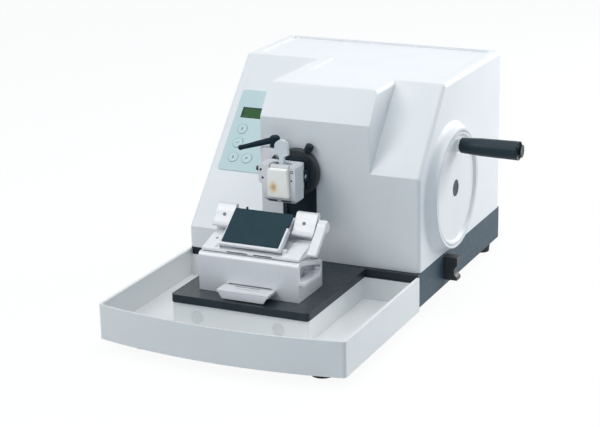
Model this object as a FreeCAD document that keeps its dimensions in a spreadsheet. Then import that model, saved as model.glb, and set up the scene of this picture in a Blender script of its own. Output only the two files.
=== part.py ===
# Semi-automatic rotary microtome, in millimetres, +Z up.
# Machine coordinates, used by every sketch: x = 0 in the middle of the housing, +x towards the
# handwheel, y = 0 at the housing's front face, +y to the rear, z = 0 on the bench.
# The row's origin is the bench point under the middle of the whole machine's box, so each
# sub-part's Placement takes the sheet's origin_x and origin_y away.
import FreeCAD, Part
import Sketcher
import math
import os
import re

SIZES = {
    # Housing cover, a stepped shell: left, centre and right sections
    "housing_width": 340,
    "housing_depth": 328,
    "housing_rise": 237.6,
    "cover_wall": 4,
    "centre_left": 60.5,
    "centre_right": 99.1,
    "left_top_setback": 182.3,
    "left_lip": 11,
    "left_front_rise": 30.2,
    "right_top_setback": 94.9,
    "right_front_rise": 130.2,
    "centre_top_setback": 29.8,
    "centre_front_rise": 195.5,
    "top_edge_radius": 6,
    "tray_top_depth": 2.5,
    "tray_top_side_rim": 14.5,
    "tray_top_rear_rim": 11,
    "tray_top_front": 116,
    "tray_top_step_x": 40,
    "tray_top_step_y": 201,
    # Base casting under the housing, an open tub with a pedestal and a front wing
    "foot_height": 18,
    "base_height": 47.7,
    "base_wall": 8,
    "base_floor": 7,
    "wing_thickness": 4,
    "wing_reach": 240,
    "wing_side_gap": 22.5,
    "pedestal_hollow_wall": 8,
    # Rubber feet
    "front_foot_radius": 17,
    "front_foot_x": 126,
    "front_foot_y": 218,
    "rear_foot_radius": 14,
    "rear_foot_x": 150,
    "rear_foot_setback": 20,
    "foot_taper": 2,
    "foot_recess_radius": 6,
    "foot_recess_depth": 8,
    # Deck plate, T-shaped, and its T guide rail
    "deck_thickness": 10.7,
    "deck_left": 101,
    "deck_right": 95,
    "deck_reach": 191.7,
    "deck_lip": 6.6,
    "deck_under_cover": 3,
    "deck_corner_radius": 5,
    "cover_gap": 0.3,
    "rail_x": 3,
    "rail_front": 152,
    "rail_rear": 50,
    "rail_neck_half": 9,
    "rail_neck_height": 4,
    "rail_head_half": 14,
    "rail_head_height": 5,
    # Waste tray
    "tray_half_width": 172.5,
    "tray_side_front": 254,
    "tray_side_rear": 7,
    "tray_bow": 19,
    "tray_rim": 62.6,
    "tray_skirt": 15.6,
    "tray_wall": 4,
    "tray_floor_thickness": 2.5,
    "tray_corner_radius": 5,
    "tray_liner": 3,
    "tray_liner_side_inset": 1,
    "tray_liner_front_inset": 3.7,
    "tray_channel_rear": 9,
    "tray_clearance": 0.3,
    "magnet_radius": 9,
    "magnet_rise": 12,
    "magnet_left_x": 65,
    "magnet_right_x": 51,
    "magnet_fit": 0.05,
    # Handwheel and its casing collar
    "wheel_y": 112,
    "wheel_z": 155,
    "wheel_radius": 78,
    "wheel_gap": 1,
    "collar_height": 13,
    "collar_rim": 4,
    "collar_flare": 9,
    "collar_cove": 2.2,
    "wheel_rim_width": 3,
    "wheel_web": 5,
    "wheel_dish": 3,
    "wheel_back_gap": 1,
    "hub_radius": 19,
    "hub_length": 14,
    "cap_radius": 11.5,
    "cap_thickness": 2,
    "cap_sink": 0.6,
    "grip_offset_y": 6,
    "grip_offset_z": 59.5,
    "grip_length": 86.8,
    "grip_small_radius": 10.5,
    "grip_large_radius": 13,
    "grip_end_radius": 4,
    "grip_middle_radius": 12.2,
    "grip_edge": 1.2,
    "grip_start": 14.2,
    "grip_boss_radius": 9,
    "axle_radius": 5,
    "axle_tail": 10,
    "running_clearance": 0.06,
    "shaft_radius": 10,
    "shaft_inner_x": 72,
    "bearing_outer_radius": 20,
    "bearing_width": 12,
    "bearing_inner_x": 82,
    "bearing_outer_x": 130,
    "bearing_block_half": 30,
    "bearing_block_x0": 80,
    "bearing_block_x1": 146,
    "bearing_block_foot_half": 45,
    "bearing_block_foot_height": 12,
    "crank_radius": 44,
    "crank_thickness": 10,
    "crank_throw": 30,
    "crank_pin_radius": 7,
    # Vertical slide and specimen feed
    "head_x": 3.7,
    "head_z": 190.6,
    "stroke": 60,
    "guide_x": 36,
    "guide_y": 62,
    "guide_half": 7.5,
    "guide_bottom_lift": 2,
    "guide_top": 286,
    "frame_thickness": 14,
    "frame_half_width": 50,
    "frame_window_half": 26,
    "frame_gap": 0.5,
    "carriage_half_width": 51,
    "carriage_front": 34,
    "carriage_back": 54,
    "carriage_low": 40,
    "carriage_high": 40,
    "runner_wall": 7,
    "guide_clearance": 0.3,
    "quill_radius": 18,
    "quill_back": 66,
    "quill_bore": 12,
    "quill_wall_end": 8,
    "bush_wall": 3,
    "bush_flange": 5,
    "feed_motor_half": 21,
    "feed_motor_length": 34,
    "feed_screw_radius": 4,
    "feed_nose_radius": 9,
    "yoke_slot_half": 8,
    "yoke_wall": 8,
    "open_pivot_gap": 0.6,
    # Slot plate and moving slot shield
    "column_half_width": 25,
    "column_proud": 0.8,
    "slot_half_width": 20.5,
    "slot_reveal": 1.5,
    "slot_low": 111,
    "shield_half_width": 24,
    "shield_thickness": 2,
    "shield_low": 108,
    "shield_high": 256,
    "shield_gap": 0.5,
    # Specimen head: flange, lock knob, two-axis orientation unit and its clamp lever
    "flange_radius": 32.6,
    "flange_thickness": 6.9,
    "flange_edge": 2,
    "flange_gap": 2.3,
    "knob_angle": 62.5,
    "knob_radius": 5.6,
    "knob_length": 10,
    "knob_seat": 34,
    "knob_stem_radius": 2.5,
    "knob_forward": 0.35,
    "knob_stem_depth": 8,
    "cradle_half": 20,
    "cradle_plate": 6,
    "ear_thickness": 4,
    "ear_half_height": 7,
    "ear_reach": 11,
    "tilt_axis_y": 23,
    "trunnion_radius": 3,
    "ring_half_width": 15.7,
    "ring_half_height": 18,
    "ring_half_depth": 4,
    "ring_window_half_width": 10.5,
    "ring_window_half_height": 11.5,
    "block_half_width": 9.8,
    "block_half_height": 10.8,
    "block_back": 19.3,
    "block_plate_back": 31,
    "block_plate_front": 36,
    "block_plate_half": 19,
    "lever_post_x": 29.5,
    "lever_post_y": 20,
    "lever_post_radius": 4,
    "lock_block_left": 19.5,
    "lock_block_right": 4,
    "lock_block_front": 7.5,
    "lock_block_rear": 8,
    "lock_block_low": 7.6,
    "lock_block_high": 35.4,
    "lock_block_edge": 1.5,
    "cradle_arm_low": 6,
    "lever_hub_radius": 6.8,
    "lever_hub_low": 36,
    "lever_hub_high": 51,
    "lever_arm_length": 46,
    "lever_arm_root": 4.6,
    "lever_arm_tip": 3.1,
    "lever_end_radius": 3.6,
    "lever_arm_drop": 8,
    "lever_arm_sweep": 25,
    # Cassette clamp on the head
    "clamp_left": 30.5,
    "clamp_left_low": 24.5,
    "clamp_lug_low": 1,
    "clamp_lug_taper": 4,
    "clamp_right": 22.7,
    "clamp_low": 28.6,
    "clamp_high": 23.4,
    "clamp_front": 62,
    "clamp_web": 9,
    "clamp_chamfer": 3,
    "clamp_bevel_width": 5.5,
    "clamp_bevel_height": 8,
    "clamp_underside": 5.5,
    "cassette_half_width": 14.2,
    "cassette_half_height": 20,
    "cassette_depth": 6,
    "cassette_wall": 1.5,
    "cassette_seat_gap": 0.3,
    "wax_half_width": 14.85,
    "wax_half_height": 19.3,
    "wax_lean_left": 0.6,
    "wax_lean_right": 2.4,
    "wax_depth": 8,
    "wax_front": 68.3,
    "wax_edge": 1.5,
    "jaw_height": 3,
    "jaw_setback": 0.5,
    "jaw_half_width": 13,
    "paddle_half_width": 9.8,
    "paddle_shift": 1.4,
    "paddle_thickness": 5,
    "paddle_rise": 22.8,
    "paddle_neck_half": 3.4,
    "paddle_neck_rise": 9,
    "paddle_pivot_drop": 5,
    "paddle_eye_radius": 4,
    "paddle_pin_seat": 4,
    "paddle_pivot_radius": 2.5,
    "paddle_pivot_y": 50,
    # Knife holder on the deck: base block, levers, tilting segment and cross slide
    "knife_left": 74.5,
    "knife_right": 68.4,
    "knife_front": 161.5,
    "knife_rear": 89,
    "knife_top": 52,
    "knife_nose_radius": 5.5,
    "knife_rise_gap": 0.1,
    "groove_clearance": 0.3,
    "edge_y": 99,
    "edge_z": 157.5,
    "seat_radius": 52,
    "seat_clearance": 0.3,
    "cheek_left": 17,
    "cheek_right": 17,
    "cheek_slope_start": 146,
    "cheek_drop": 16,
    "pocket_depth": 12,
    "pocket_low": 22.5,
    "pocket_front": 5,
    "pocket_rear": 6,
    "pocket_roof": 6,
    "side_lever_out": 8.5,
    "side_lever_in": 4.4,
    "side_pin_y": 117,
    "side_lever_thickness": 4,
    "side_lever_z": 26,
    "side_lever_front": 162.5,
    "side_lever_rear": 114,
    "side_lever_pin_radius": 4,
    "side_lever_pin_depth": 9,
    "side_lever_hook": 5,
    "front_lever_left": 37,
    "front_lever_right": 36,
    "front_lever_reach": 23.5,
    "front_lever_top": 13,
    "front_lever_thickness": 3.5,
    "front_lever_taper": 7,
    "front_lever_slot_half": 17,
    "front_lever_slot_width": 2,
    "front_lever_pin_radius": 1.2,
    "front_eye_radius": 1.85,
    "front_eye_room": 3.4,
    "front_shelf_gap": 0.8,
    "front_web_inset": 6,
    "front_pin_y": 156,
    "front_lever_lift": 1.5,
    "segment_front": 128,
    "segment_rear": 88,
    "segment_top": 53,
    "cross_front": 156,
    "cross_rear": 91,
    "cross_bottom_gap": 0.3,
    "cross_thickness": 11.6,
    "cross_sill_thickness": 2.9,
    "cross_step_foot": 130,
    "cross_step_top": 120,
    "shoulder_rear": 112,
    "shoulder_rise": 14.7,
    "cross_left": 72.5,
    "cross_right": 66.4,
    "key_half": 7,
    "key_depth": 4,
    "cross_travel": 12,
    "key_y": 111,
    "back_foot_front": 108,
    "back_foot_rear": 91,
    "back_left": 75,
    "back_right": 69,
    "back_top": 166,
    "wing_front": 115,
    "wing_low": 140.5,
    "wing_lip_front": 119.5,
    "wing_lip_edge": 2.5,
    "wing_lip_rise": 4.5,
    "wing_top_front": 100.5,
    "wing_top_rear": 94.5,
    "wing_inner_left": 48,
    "wing_inner_right": 39,
    "blade_length": 80,
    "blade_width": 8,
    "blade_thickness": 0.3,
    "blade_x": 4,
    "bed_tilt": 36,
    "press_depth": 22,
    "press_thickness": 4,
    "press_left": 45,
    "press_right": 37,
    "press_edge_setback": 1.2,
    "plate_left": 47,
    "plate_right": 36,
    "plate_length": 55.6,
    "plate_thickness": 3,
    "plate_lift": 5.2,
    "carrier_thickness": 2.2,
    "carrier_margin": 3,
    "carrier_front_margin": 4,
    "carrier_length": 34,
    "carrier_lip": 2.2,
    "plate_gap": 0.3,
    "carrier_side_lip": 6,
    "hinge_radius": 1.8,
    "hinge_ear": 5,
    "hinge_eye": 3.2,
    "hinge_setback": 55,
    "blade_lever_x": 70.5,
    "blade_lever_width": 12,
    "blade_lever_length": 46,
    "blade_lever_eye": 7,
    "blade_lever_thickness": 6,
    "blade_lever_lean": 6,
    "blade_pivot_setback": 2.9,
    "blade_pivot_drop": 7.3,
    "blade_shaft_radius": 3,
    "blade_shaft_reach": 40,
    # Control panel on the left slope
    "panel_left": 156,
    "panel_right": 72,
    "panel_low": 92,
    "panel_high": 222,
    "panel_thickness": 1.2,
    "panel_corner": 4,
    "panel_margin": 8,
    "display_left": 147,
    "display_right": 93,
    "display_low": 176.5,
    "display_high": 194,
    "display_recess": 0.4,
    "key_column_one": 137.5,
    "key_column_two": 116,
    "key_row_one": 113,
    "key_row_two": 136,
    "key_row_three": 158.6,
    "key_radius": 8,
    "key_gap": 0.3,
    "key_height": 1.8,
    "key_flange": 1.2,
    "key_flange_thickness": 1,
    "key_travel": 0.6,
    "board_drop": 5,
    "board_thickness": 1.6,
    "board_margin": 5,
    "board_post_radius": 3,
    # Rear inlet, switch, power supply, lock lever and screws
    "inlet_x": 112,
    "inlet_z": 100,
    "inlet_half_width": 14,
    "inlet_depth": 22,
    "inlet_flange": 3,
    "inlet_flange_thickness": 2,
    "inlet_mouth_half_width": 11.5,
    "inlet_mouth_half_height": 7.7,
    "inlet_mouth_depth": 15,
    "inlet_pin_half": 1,
    "inlet_pin_half_height": 2,
    "inlet_pin_pitch": 7,
    "inlet_pin_length": 10,
    "switch_x": 76,
    "switch_half_width": 9,
    "switch_half_height": 13,
    "switch_frame": 2,
    "switch_gap": 0.4,
    "rocker_depth": 6,
    "rocker_rise": 3.4,
    "switch_depth": 12,
    "switch_pin_radius": 1.5,
    "supply_left": 150,
    "supply_right": 66,
    "supply_setback": 32,
    "supply_length": 91,
    "supply_height": 46,
    "lock_y": 99.5,
    "lock_z": 45,
    "lock_half_width": 7.5,
    "lock_low": 17,
    "lock_high": 16,
    "lock_reach": 19.5,
    "lock_gap": 0.5,
    "lock_notch_radius": 9,
    "lock_shaft_radius": 5,
    "lock_shaft_tail": 16,
    "screw_radius": 3,
    "screw_head_radius": 5.5,
    "screw_head_height": 3,
    "screw_length": 12,
    "screw_inset_x": 150,
    "screw_low_rise": 14,
    "screw_high_drop": 24,
    "post_half_width": 7,
    "post_depth": 12,
    # Small allowances shared by the machine
    "overrun": 1,
}

# Places worked out from the sizes above, written as formulas of the sheet.
RELATIONS = {
    "base_top": "foot_height + base_height",
    "floor_top": "foot_height + base_floor",
    "cover_top": "base_top + housing_rise",
    "half_width": "housing_width / 2",
    "wing_half_width": "tray_half_width - wing_side_gap",
    "rear_foot_y": "housing_depth - rear_foot_setback",
    "supply_rear": "housing_depth - supply_setback",
    "supply_front": "supply_rear - supply_length",
    "left_slope_z": "base_top + left_front_rise",
    "right_slope_z": "base_top + right_front_rise",
    "centre_slope_z": "base_top + centre_front_rise",
    "left_run": "left_top_setback + left_lip",
    "left_climb": "cover_top - left_slope_z",
    "left_slope_length": "sqrt(left_run ^ 2 + left_climb ^ 2)",
    "left_slope_angle": "atan(left_climb / left_run)",
    "left_shift": "cover_wall * left_slope_length / left_climb",
    "right_climb": "cover_top - right_slope_z",
    "right_shift": "cover_wall * sqrt(right_top_setback ^ 2 + right_climb ^ 2) / right_climb",
    "centre_climb": "cover_top - centre_slope_z",
    "centre_shift": "cover_wall * sqrt(centre_top_setback ^ 2 + centre_climb ^ 2) / centre_climb",
    "roof_z": "cover_top - tray_top_depth - cover_wall",
    "deck_top": "base_top - cover_gap",
    "deck_bottom": "deck_top - deck_thickness",
    "wing_top": "foot_height + wing_thickness",
    "tray_floor_low": "wing_top + tray_clearance",
    "tray_floor_top": "tray_floor_low + tray_floor_thickness",
    "liner_top": "deck_bottom - tray_clearance",
    "liner_left": "deck_left - tray_liner_side_inset",
    "liner_right": "deck_right - tray_liner_side_inset",
    "liner_front": "deck_reach - tray_liner_front_inset",
    "pedestal_left": "liner_left - tray_liner - tray_clearance",
    "pedestal_right": "liner_right - tray_liner - tray_clearance",
    "pedestal_front": "liner_front - tray_liner - tray_clearance",
    "magnet_z": "tray_floor_top + magnet_rise",
    "wheel_face": "half_width + collar_height",
    "wheel_back": "half_width + wheel_back_gap",
    "dish_x": "wheel_face - wheel_dish - cap_sink",
    "grip_y": "wheel_y + grip_offset_y",
    "grip_z": "wheel_z + grip_offset_z",
    "grip_x": "half_width + grip_start",
    "grip_tip": "grip_x + grip_length",
    "quarter_arc_share": "1 - sqrt(2) / 2",
    "crank_x1": "shaft_inner_x",
    "crank_x0": "crank_x1 - crank_thickness",
    "pin_z": "wheel_z + crank_throw",
    "yoke_x0": "carriage_half_width - head_x",
    "yoke_x1": "yoke_x0 + yoke_wall",
    "guide_front": "guide_y - guide_half",
    "frame_front": "guide_y + guide_half + cover_gap",
    "frame_back": "frame_front + frame_thickness",
    "motor_front": "quill_back + feed_screw_radius",
    "motor_back": "motor_front + feed_motor_length",
    "quill_front": "flange_gap",
    "flange_back": "column_proud + flange_gap",
    "flange_front": "flange_back + flange_thickness",
    "knob_y": "(flange_back + flange_front) / 2 + knob_forward",
    "cradle_front": "flange_front + cradle_plate",
    "slot_top_z": "head_z",
    "knife_top_z": "deck_top + knife_top",
    "segment_top_z": "deck_top + segment_top",
    "cross_bottom": "segment_top_z + cross_bottom_gap",
    "cross_top": "cross_bottom + cross_thickness",
    "cross_sill": "cross_bottom + cross_sill_thickness",
    "cheek_fall": "cheek_drop / (cheek_slope_start - knife_rear)",
    "rail_top": "deck_top + rail_neck_height + rail_head_height",
    "post_back": "housing_depth - cover_wall - cover_gap",
    "inlet_body_left": "-inlet_x - inlet_half_width",
    "inlet_body_right": "-switch_x + switch_half_width + switch_frame",
    "inlet_body_half": "switch_half_height + switch_frame",
    "inlet_face": "housing_depth + inlet_flange_thickness",
    "switch_pivot_y": "inlet_face - rocker_depth / 2",
    "mouth_half_width": "wax_half_width + cassette_seat_gap * 2",
    "paddle_pivot_z": "head_z + clamp_high - paddle_pivot_drop",
    "paddle_low": "head_z + clamp_high + paddle_neck_rise",
    "paddle_top": "paddle_low + paddle_rise",
    "paddle_front": "paddle_pivot_y + paddle_thickness / 2",
    "side_pin_z": "deck_top + side_lever_z",
    "front_pin_z": "deck_top + front_lever_top - front_lever_thickness / 2",
    "blade_pivot_y": "edge_y + blade_pivot_setback",
    "blade_pivot_z": "edge_z - blade_pivot_drop",
    "origin_x": "(grip_tip - tray_half_width) / 2",
    "origin_y": "(inlet_face + rocker_rise - tray_side_front - tray_bow) / 2",
}

doc = FreeCAD.newDocument("RotaryMicrotome")
sheet = doc.addObject("Spreadsheet::Sheet", "Sizes")
measures = doc.addObject("Spreadsheet::Sheet", "Measures")
NAMES = set(SIZES) | set(RELATIONS)


def fill_sheet():
    """Write each size as a plain number, then each relation as a formula, with its alias."""
    row = 1
    for name, content in [*SIZES.items(), *((n, "=" + t) for n, t in RELATIONS.items())]:
        sheet.set(f"A{row}", name)
        sheet.set(f"B{row}", str(content))
        sheet.setAlias(f"B{row}", name)
        row += 1
    doc.recompute()


def bound(text):
    """Point every size name in a formula at the sheet."""
    return re.sub(r"[A-Za-z_]\w*", lambda word: "Sizes." + word[0] if word[0] in NAMES else word[0], text)


def value(text):
    """Number that a formula of size names gives, used to pick edges and to start a sketch."""
    measures.set("A1", "=" + bound(text))
    measures.recompute()
    return float(measures.get("A1"))


PLANES = {"XY": "XY_Plane", "XZ": "XZ_Plane", "YZ": "YZ_Plane"}
SAME_PLACE = 0.01
SAME_DIRECTION = 0.9999
pieces = {}


def new_body(label):
    body = doc.addObject("PartDesign::Body", label)
    body.Label = label
    pieces[label] = body
    return body


def sketch_on(body, plane, across="0", up="0", out="0"):
    """Sketch on one of the body's own origin planes, shifted within it and along its normal."""
    sketch = body.newObject("Sketcher::SketchObject", body.Name + "_sketch")
    face = [f for f in body.Origin.OriginFeatures if f.Role == PLANES[plane]][0]
    sketch.AttachmentSupport = [(face, "")]
    sketch.MapMode = "FlatFace"
    for axis, text in zip("xyz", (across, up, out)):
        if text != "0":
            sketch.setExpression("AttachmentOffset.Base." + axis, bound(text))
    return sketch


def pin_down(sketch, kind, item, point, text):
    """Fix one coordinate of a sketch point to a formula."""
    start = value(text)
    number = sketch.addConstraint(Sketcher.Constraint(kind, -1, 1, item, point, start))
    sketch.setExpression(f"Constraints[{number}]", bound(text))


def outline(sketch, points):
    """Closed outline. Each point is (across, up) or (across, up, bow): bow is the rise of the arc
    that runs from this point to the next, on the right-hand side of the way round."""
    places = [FreeCAD.Vector(value(p[0]), value(p[1]), 0) for p in points]
    ends = []
    for number, point in enumerate(points):
        here = places[number]
        there = places[(number + 1) % len(points)]
        if len(point) == 3:
            rise = value(point[2])
            chord = there - here
            side = FreeCAD.Vector(chord.y, -chord.x, 0).normalize() * rise
            arc = Part.Arc(here, (here + there) / 2 + side, there)
            item = sketch.addGeometry(arc, False)
            forward = sketch.Geometry[item].StartPoint.distanceToPoint(here) < chord.Length / 2
            ends.append((item, 1, 2) if forward else (item, 2, 1))
        else:
            item = sketch.addGeometry(Part.LineSegment(here, there), False)
            ends.append((item, 1, 2))
    for number, (item, first, last) in enumerate(ends):
        nxt, nxt_first, _ = ends[(number + 1) % len(ends)]
        sketch.addConstraint(Sketcher.Constraint("Coincident", item, last, nxt, nxt_first))
    for number, (item, first, last) in enumerate(ends):
        pin_down(sketch, "DistanceX", item, first, points[number][0])
        pin_down(sketch, "DistanceY", item, first, points[number][1])
    for number, (item, first, last) in enumerate(ends):
        if len(points[number]) == 3:
            here = points[number]
            there = points[(number + 1) % len(points)]
            run = f"(({there[0]}) - ({here[0]}))"
            climb = f"(({there[1]}) - ({here[1]}))"
            chord = f"sqrt({run} ^ 2 + {climb} ^ 2)"
            lean = f"(({here[2]}) / (2 * {chord}) - {chord} / (8 * ({here[2]})))"
            if abs(value(climb)) > abs(value(run)):
                pin_down(sketch, "DistanceX", item, 3, f"({here[0]}) + {run} / 2 + {climb} * {lean}")
            else:
                pin_down(sketch, "DistanceY", item, 3, f"({here[1]}) + {climb} / 2 - {run} * {lean}")


def circles(sketch, centres, radius):
    """Circles of one radius at the given (across, up) places."""
    for across, up in centres:
        middle = FreeCAD.Vector(value(across), value(up), 0)
        item = sketch.addGeometry(Part.Circle(middle, FreeCAD.Vector(0, 0, 1), value(radius)), False)
        pin_down(sketch, "DistanceX", item, 3, across)
        pin_down(sketch, "DistanceY", item, 3, up)
        number = sketch.addConstraint(Sketcher.Constraint("Radius", item, value(radius)))
        sketch.setExpression(f"Constraints[{number}]", bound(radius))


def volume_of(body):
    doc.recompute()
    return body.Shape.Volume if body.Shape.Solids else 0


def raise_or_cut(body, plane, draw, low, high, cut, must_change=True):
    """Pad or pocket between two levels along the plane's normal axis (X, Y or Z of the machine)."""
    before = volume_of(body)
    at_high = cut != (plane == "XZ")
    level = high if at_high else low
    sketch = sketch_on(body, plane, out=f"-({level})" if plane == "XZ" else level)
    draw(sketch)
    feature = body.newObject("PartDesign::Pocket" if cut else "PartDesign::Pad", body.Name + "_step")
    feature.Profile = sketch
    feature.setExpression("Length", bound(f"({high}) - ({low})"))
    sketch.Visibility = False
    after = volume_of(body)
    unchanged = (after >= before) if cut else (after <= before)
    if must_change and unchanged:
        raise RuntimeError(f"{body.Label}: a step from {low} to {high} changed nothing")
    return feature


def pad(body, plane, points, low, high):
    return raise_or_cut(body, plane, lambda sketch: outline(sketch, points), low, high, False)


def pocket(body, plane, points, low, high):
    return raise_or_cut(body, plane, lambda sketch: outline(sketch, points), low, high, True)


def bosses(body, plane, centres, radius, low, high):
    return raise_or_cut(body, plane, lambda sketch: circles(sketch, centres, radius), low, high, False)


def bores(body, plane, centres, radius, low, high):
    return raise_or_cut(body, plane, lambda sketch: circles(sketch, centres, radius), low, high, True)


def rectangle(left, right, low, high):
    return [(left, low), (right, low), (right, high), (left, high)]


def turn(body, axis, centre, points, cut=False):
    """Revolve an outline about a line along X, Y or Z. For X and Y the centre is the other two
    coordinates. Points are (along, radius) for X and (radius, along) for Y and Z."""
    before = volume_of(body)
    first, second = centre
    if axis == "X":
        sketch = sketch_on(body, "XZ", up=second, out=f"-({first})")
    elif axis == "Y":
        sketch = sketch_on(body, "XY", across=first, out=second)
    else:
        sketch = sketch_on(body, "XZ", across=first, out=f"-({second})")
    outline(sketch, points)
    feature = body.newObject("PartDesign::Groove" if cut else "PartDesign::Revolution", body.Name + "_turn")
    feature.Profile = sketch
    feature.ReferenceAxis = (sketch, ["H_Axis" if axis == "X" else "V_Axis"])
    feature.Angle = 360
    sketch.Visibility = False
    after = volume_of(body)
    if (after >= before) if cut else (after <= before):
        raise RuntimeError(f"{body.Label}: a turned step changed nothing")
    return feature


def edges_at(feature, along, **near):
    """Names of the straight edges that run along one axis, or of the curved ones when along is
    curve, and whose middle has the given coordinates (a formula or several)."""
    found = []
    direction = {"x": (1, 0, 0), "y": (0, 1, 0), "z": (0, 0, 1)}.get(along)
    for number, edge in enumerate(feature.Shape.Edges, 1):
        straight = edge.Curve.TypeId == "Part::GeomLine"
        if (direction is None) == straight:
            continue
        tangent = edge.tangentAt(edge.FirstParameter)
        if direction and abs(tangent.dot(FreeCAD.Vector(*direction))) < SAME_DIRECTION:
            continue
        box = edge.BoundBox
        middle = {"x": (box.XMin + box.XMax) / 2, "y": (box.YMin + box.YMax) / 2,
                  "z": (box.ZMin + box.ZMax) / 2}
        fits = True
        for axis, texts in near.items():
            texts = (texts,) if isinstance(texts, str) else texts
            fits = fits and any(abs(middle[axis] - value(text)) < SAME_PLACE for text in texts)
        if fits:
            found.append(f"Edge{number}")
    if not found:
        raise RuntimeError(f"{feature.Label}: no edge along {along} at {near}")
    return found


def soften(body, feature, edges, radius, kind="PartDesign::Fillet"):
    """Fillet or chamfer the named edges of a feature."""
    blend = body.newObject(kind, body.Name + "_edge")
    blend.Base = (feature, edges)
    blend.setExpression("Radius" if kind == "PartDesign::Fillet" else "Size", bound(radius))
    doc.recompute()
    return blend


def seat(item, x="0", y="0", z="0", tilt="0"):
    """Place a sub-part: its own shift in machine coordinates, less the row's origin."""
    item.Placement = FreeCAD.Placement(FreeCAD.Vector(), FreeCAD.Rotation(FreeCAD.Vector(1, 0, 0), 0))
    item.setExpression("Placement.Base.x", bound(f"({x}) - origin_x"))
    item.setExpression("Placement.Base.y", bound(f"({y}) - origin_y"))
    item.setExpression("Placement.Base.z", bound(z))
    if tilt != "0":
        item.Placement = FreeCAD.Placement(FreeCAD.Vector(), FreeCAD.Rotation(FreeCAD.Vector(1, 0, 0), 1))
        item.setExpression("Placement.Rotation.Angle", bound(tilt))


def base_casting():
    """Cast tub under the housing, with a pedestal under the deck and a front wing for the feet."""
    body = new_body("base_casting")
    tub = rectangle("-half_width", "half_width", "-deck_lip", "housing_depth")
    pad(body, "XY", tub, "foot_height", "base_top")
    wing = rectangle("-wing_half_width", "wing_half_width", "-wing_reach", "overrun")
    pad(body, "XY", wing, "foot_height", "wing_top")
    pedestal = rectangle("-pedestal_left", "pedestal_right", "-pedestal_front", "overrun")
    pad(body, "XY", pedestal, "foot_height", "deck_bottom")
    room = rectangle("base_wall - half_width", "half_width - base_wall",
                     "base_wall - deck_lip", "housing_depth - base_wall")
    pocket(body, "XY", room, "floor_top", "base_top + overrun")
    ledge = rectangle("-half_width - overrun", "half_width + overrun",
                      "-deck_lip - overrun", "deck_under_cover + cover_gap")
    pocket(body, "XY", ledge, "deck_bottom", "base_top + overrun")
    under = rectangle("pedestal_hollow_wall - pedestal_left", "pedestal_right - pedestal_hollow_wall",
                      "pedestal_hollow_wall - pedestal_front", "-pedestal_hollow_wall")
    pocket(body, "XY", under, "foot_height - overrun", "deck_bottom - pedestal_hollow_wall")
    bores(body, "YZ", [("lock_y", "lock_z")], "lock_shaft_radius + running_clearance",
          "half_width - base_wall - overrun", "half_width + overrun")
    for x in ("-screw_inset_x", "screw_inset_x"):
        post = rectangle(f"{x} - post_half_width", f"{x} + post_half_width",
                         "post_back - post_depth", "post_back")
        pad(body, "XY", post, "floor_top", "cover_top - screw_high_drop + post_half_width")
    bores(body, "XZ", screw_places(), "screw_radius", "post_back - post_depth - overrun",
          "post_back + overrun")
    seat(body)


def rubber_feet():
    """Four tapered feet, two large ones under the wing and two smaller ones at the rear."""
    fused = doc.addObject("Part::MultiFuse", "rubber_feet")
    fused.Label = "rubber_feet"
    feet = []
    for side in ("-", ""):
        for name, radius, x, y in (("front", "front_foot_radius", f"{side}front_foot_x", "-front_foot_y"),
                                   ("rear", "rear_foot_radius", f"{side}rear_foot_x", "rear_foot_y")):
            cone = doc.addObject("Part::Cone", f"{name}_foot")
            cone.setExpression("Radius1", bound(f"{radius} - foot_taper"))
            cone.setExpression("Radius2", bound(radius))
            cone.setExpression("Height", bound("foot_height"))
            recess = doc.addObject("Part::Cylinder", f"{name}_foot_recess")
            recess.setExpression("Radius", bound("foot_recess_radius"))
            recess.setExpression("Height", bound("foot_recess_depth + overrun"))
            recess.setExpression("Placement.Base.z", bound("-overrun"))
            foot = doc.addObject("Part::Cut", f"{name}_foot_body")
            foot.Base = cone
            foot.Tool = recess
            foot.setExpression("Placement.Base.x", bound(x))
            foot.setExpression("Placement.Base.y", bound(y))
            feet.append(foot)
    fused.Shapes = feet
    pieces["rubber_feet"] = fused
    seat(fused)


def deck_plate():
    """T-shaped black deck: a wide bar under the housing's front edge and a tongue forward."""
    body = new_body("deck_plate")
    deck = pad(body, "XY", [("-half_width", "-deck_lip"), ("-deck_left", "-deck_lip"),
                            ("-deck_left", "-deck_reach"), ("deck_right", "-deck_reach"),
                            ("deck_right", "-deck_lip"), ("half_width", "-deck_lip"),
                            ("half_width", "deck_under_cover"), ("-half_width", "deck_under_cover")],
               "deck_bottom", "deck_top")
    corners = edges_at(deck, "z", x=("-deck_left", "deck_right"), y="-deck_reach")
    soften(body, deck, corners, "deck_corner_radius")
    seat(body)


def guide_rail():
    """T-section rail along the deck that the knife holder slides on."""
    body = new_body("guide_rail")
    pad(body, "XZ", [("-rail_neck_half", "deck_top"), ("rail_neck_half", "deck_top"),
                     ("rail_neck_half", "deck_top + rail_neck_height"),
                     ("rail_head_half", "deck_top + rail_neck_height"), ("rail_head_half", "rail_top"),
                     ("-rail_head_half", "rail_top"), ("-rail_head_half", "deck_top + rail_neck_height"),
                     ("-rail_neck_half", "deck_top + rail_neck_height")], "-rail_front", "-rail_rear")
    seat(body, x="-rail_x")


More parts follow.
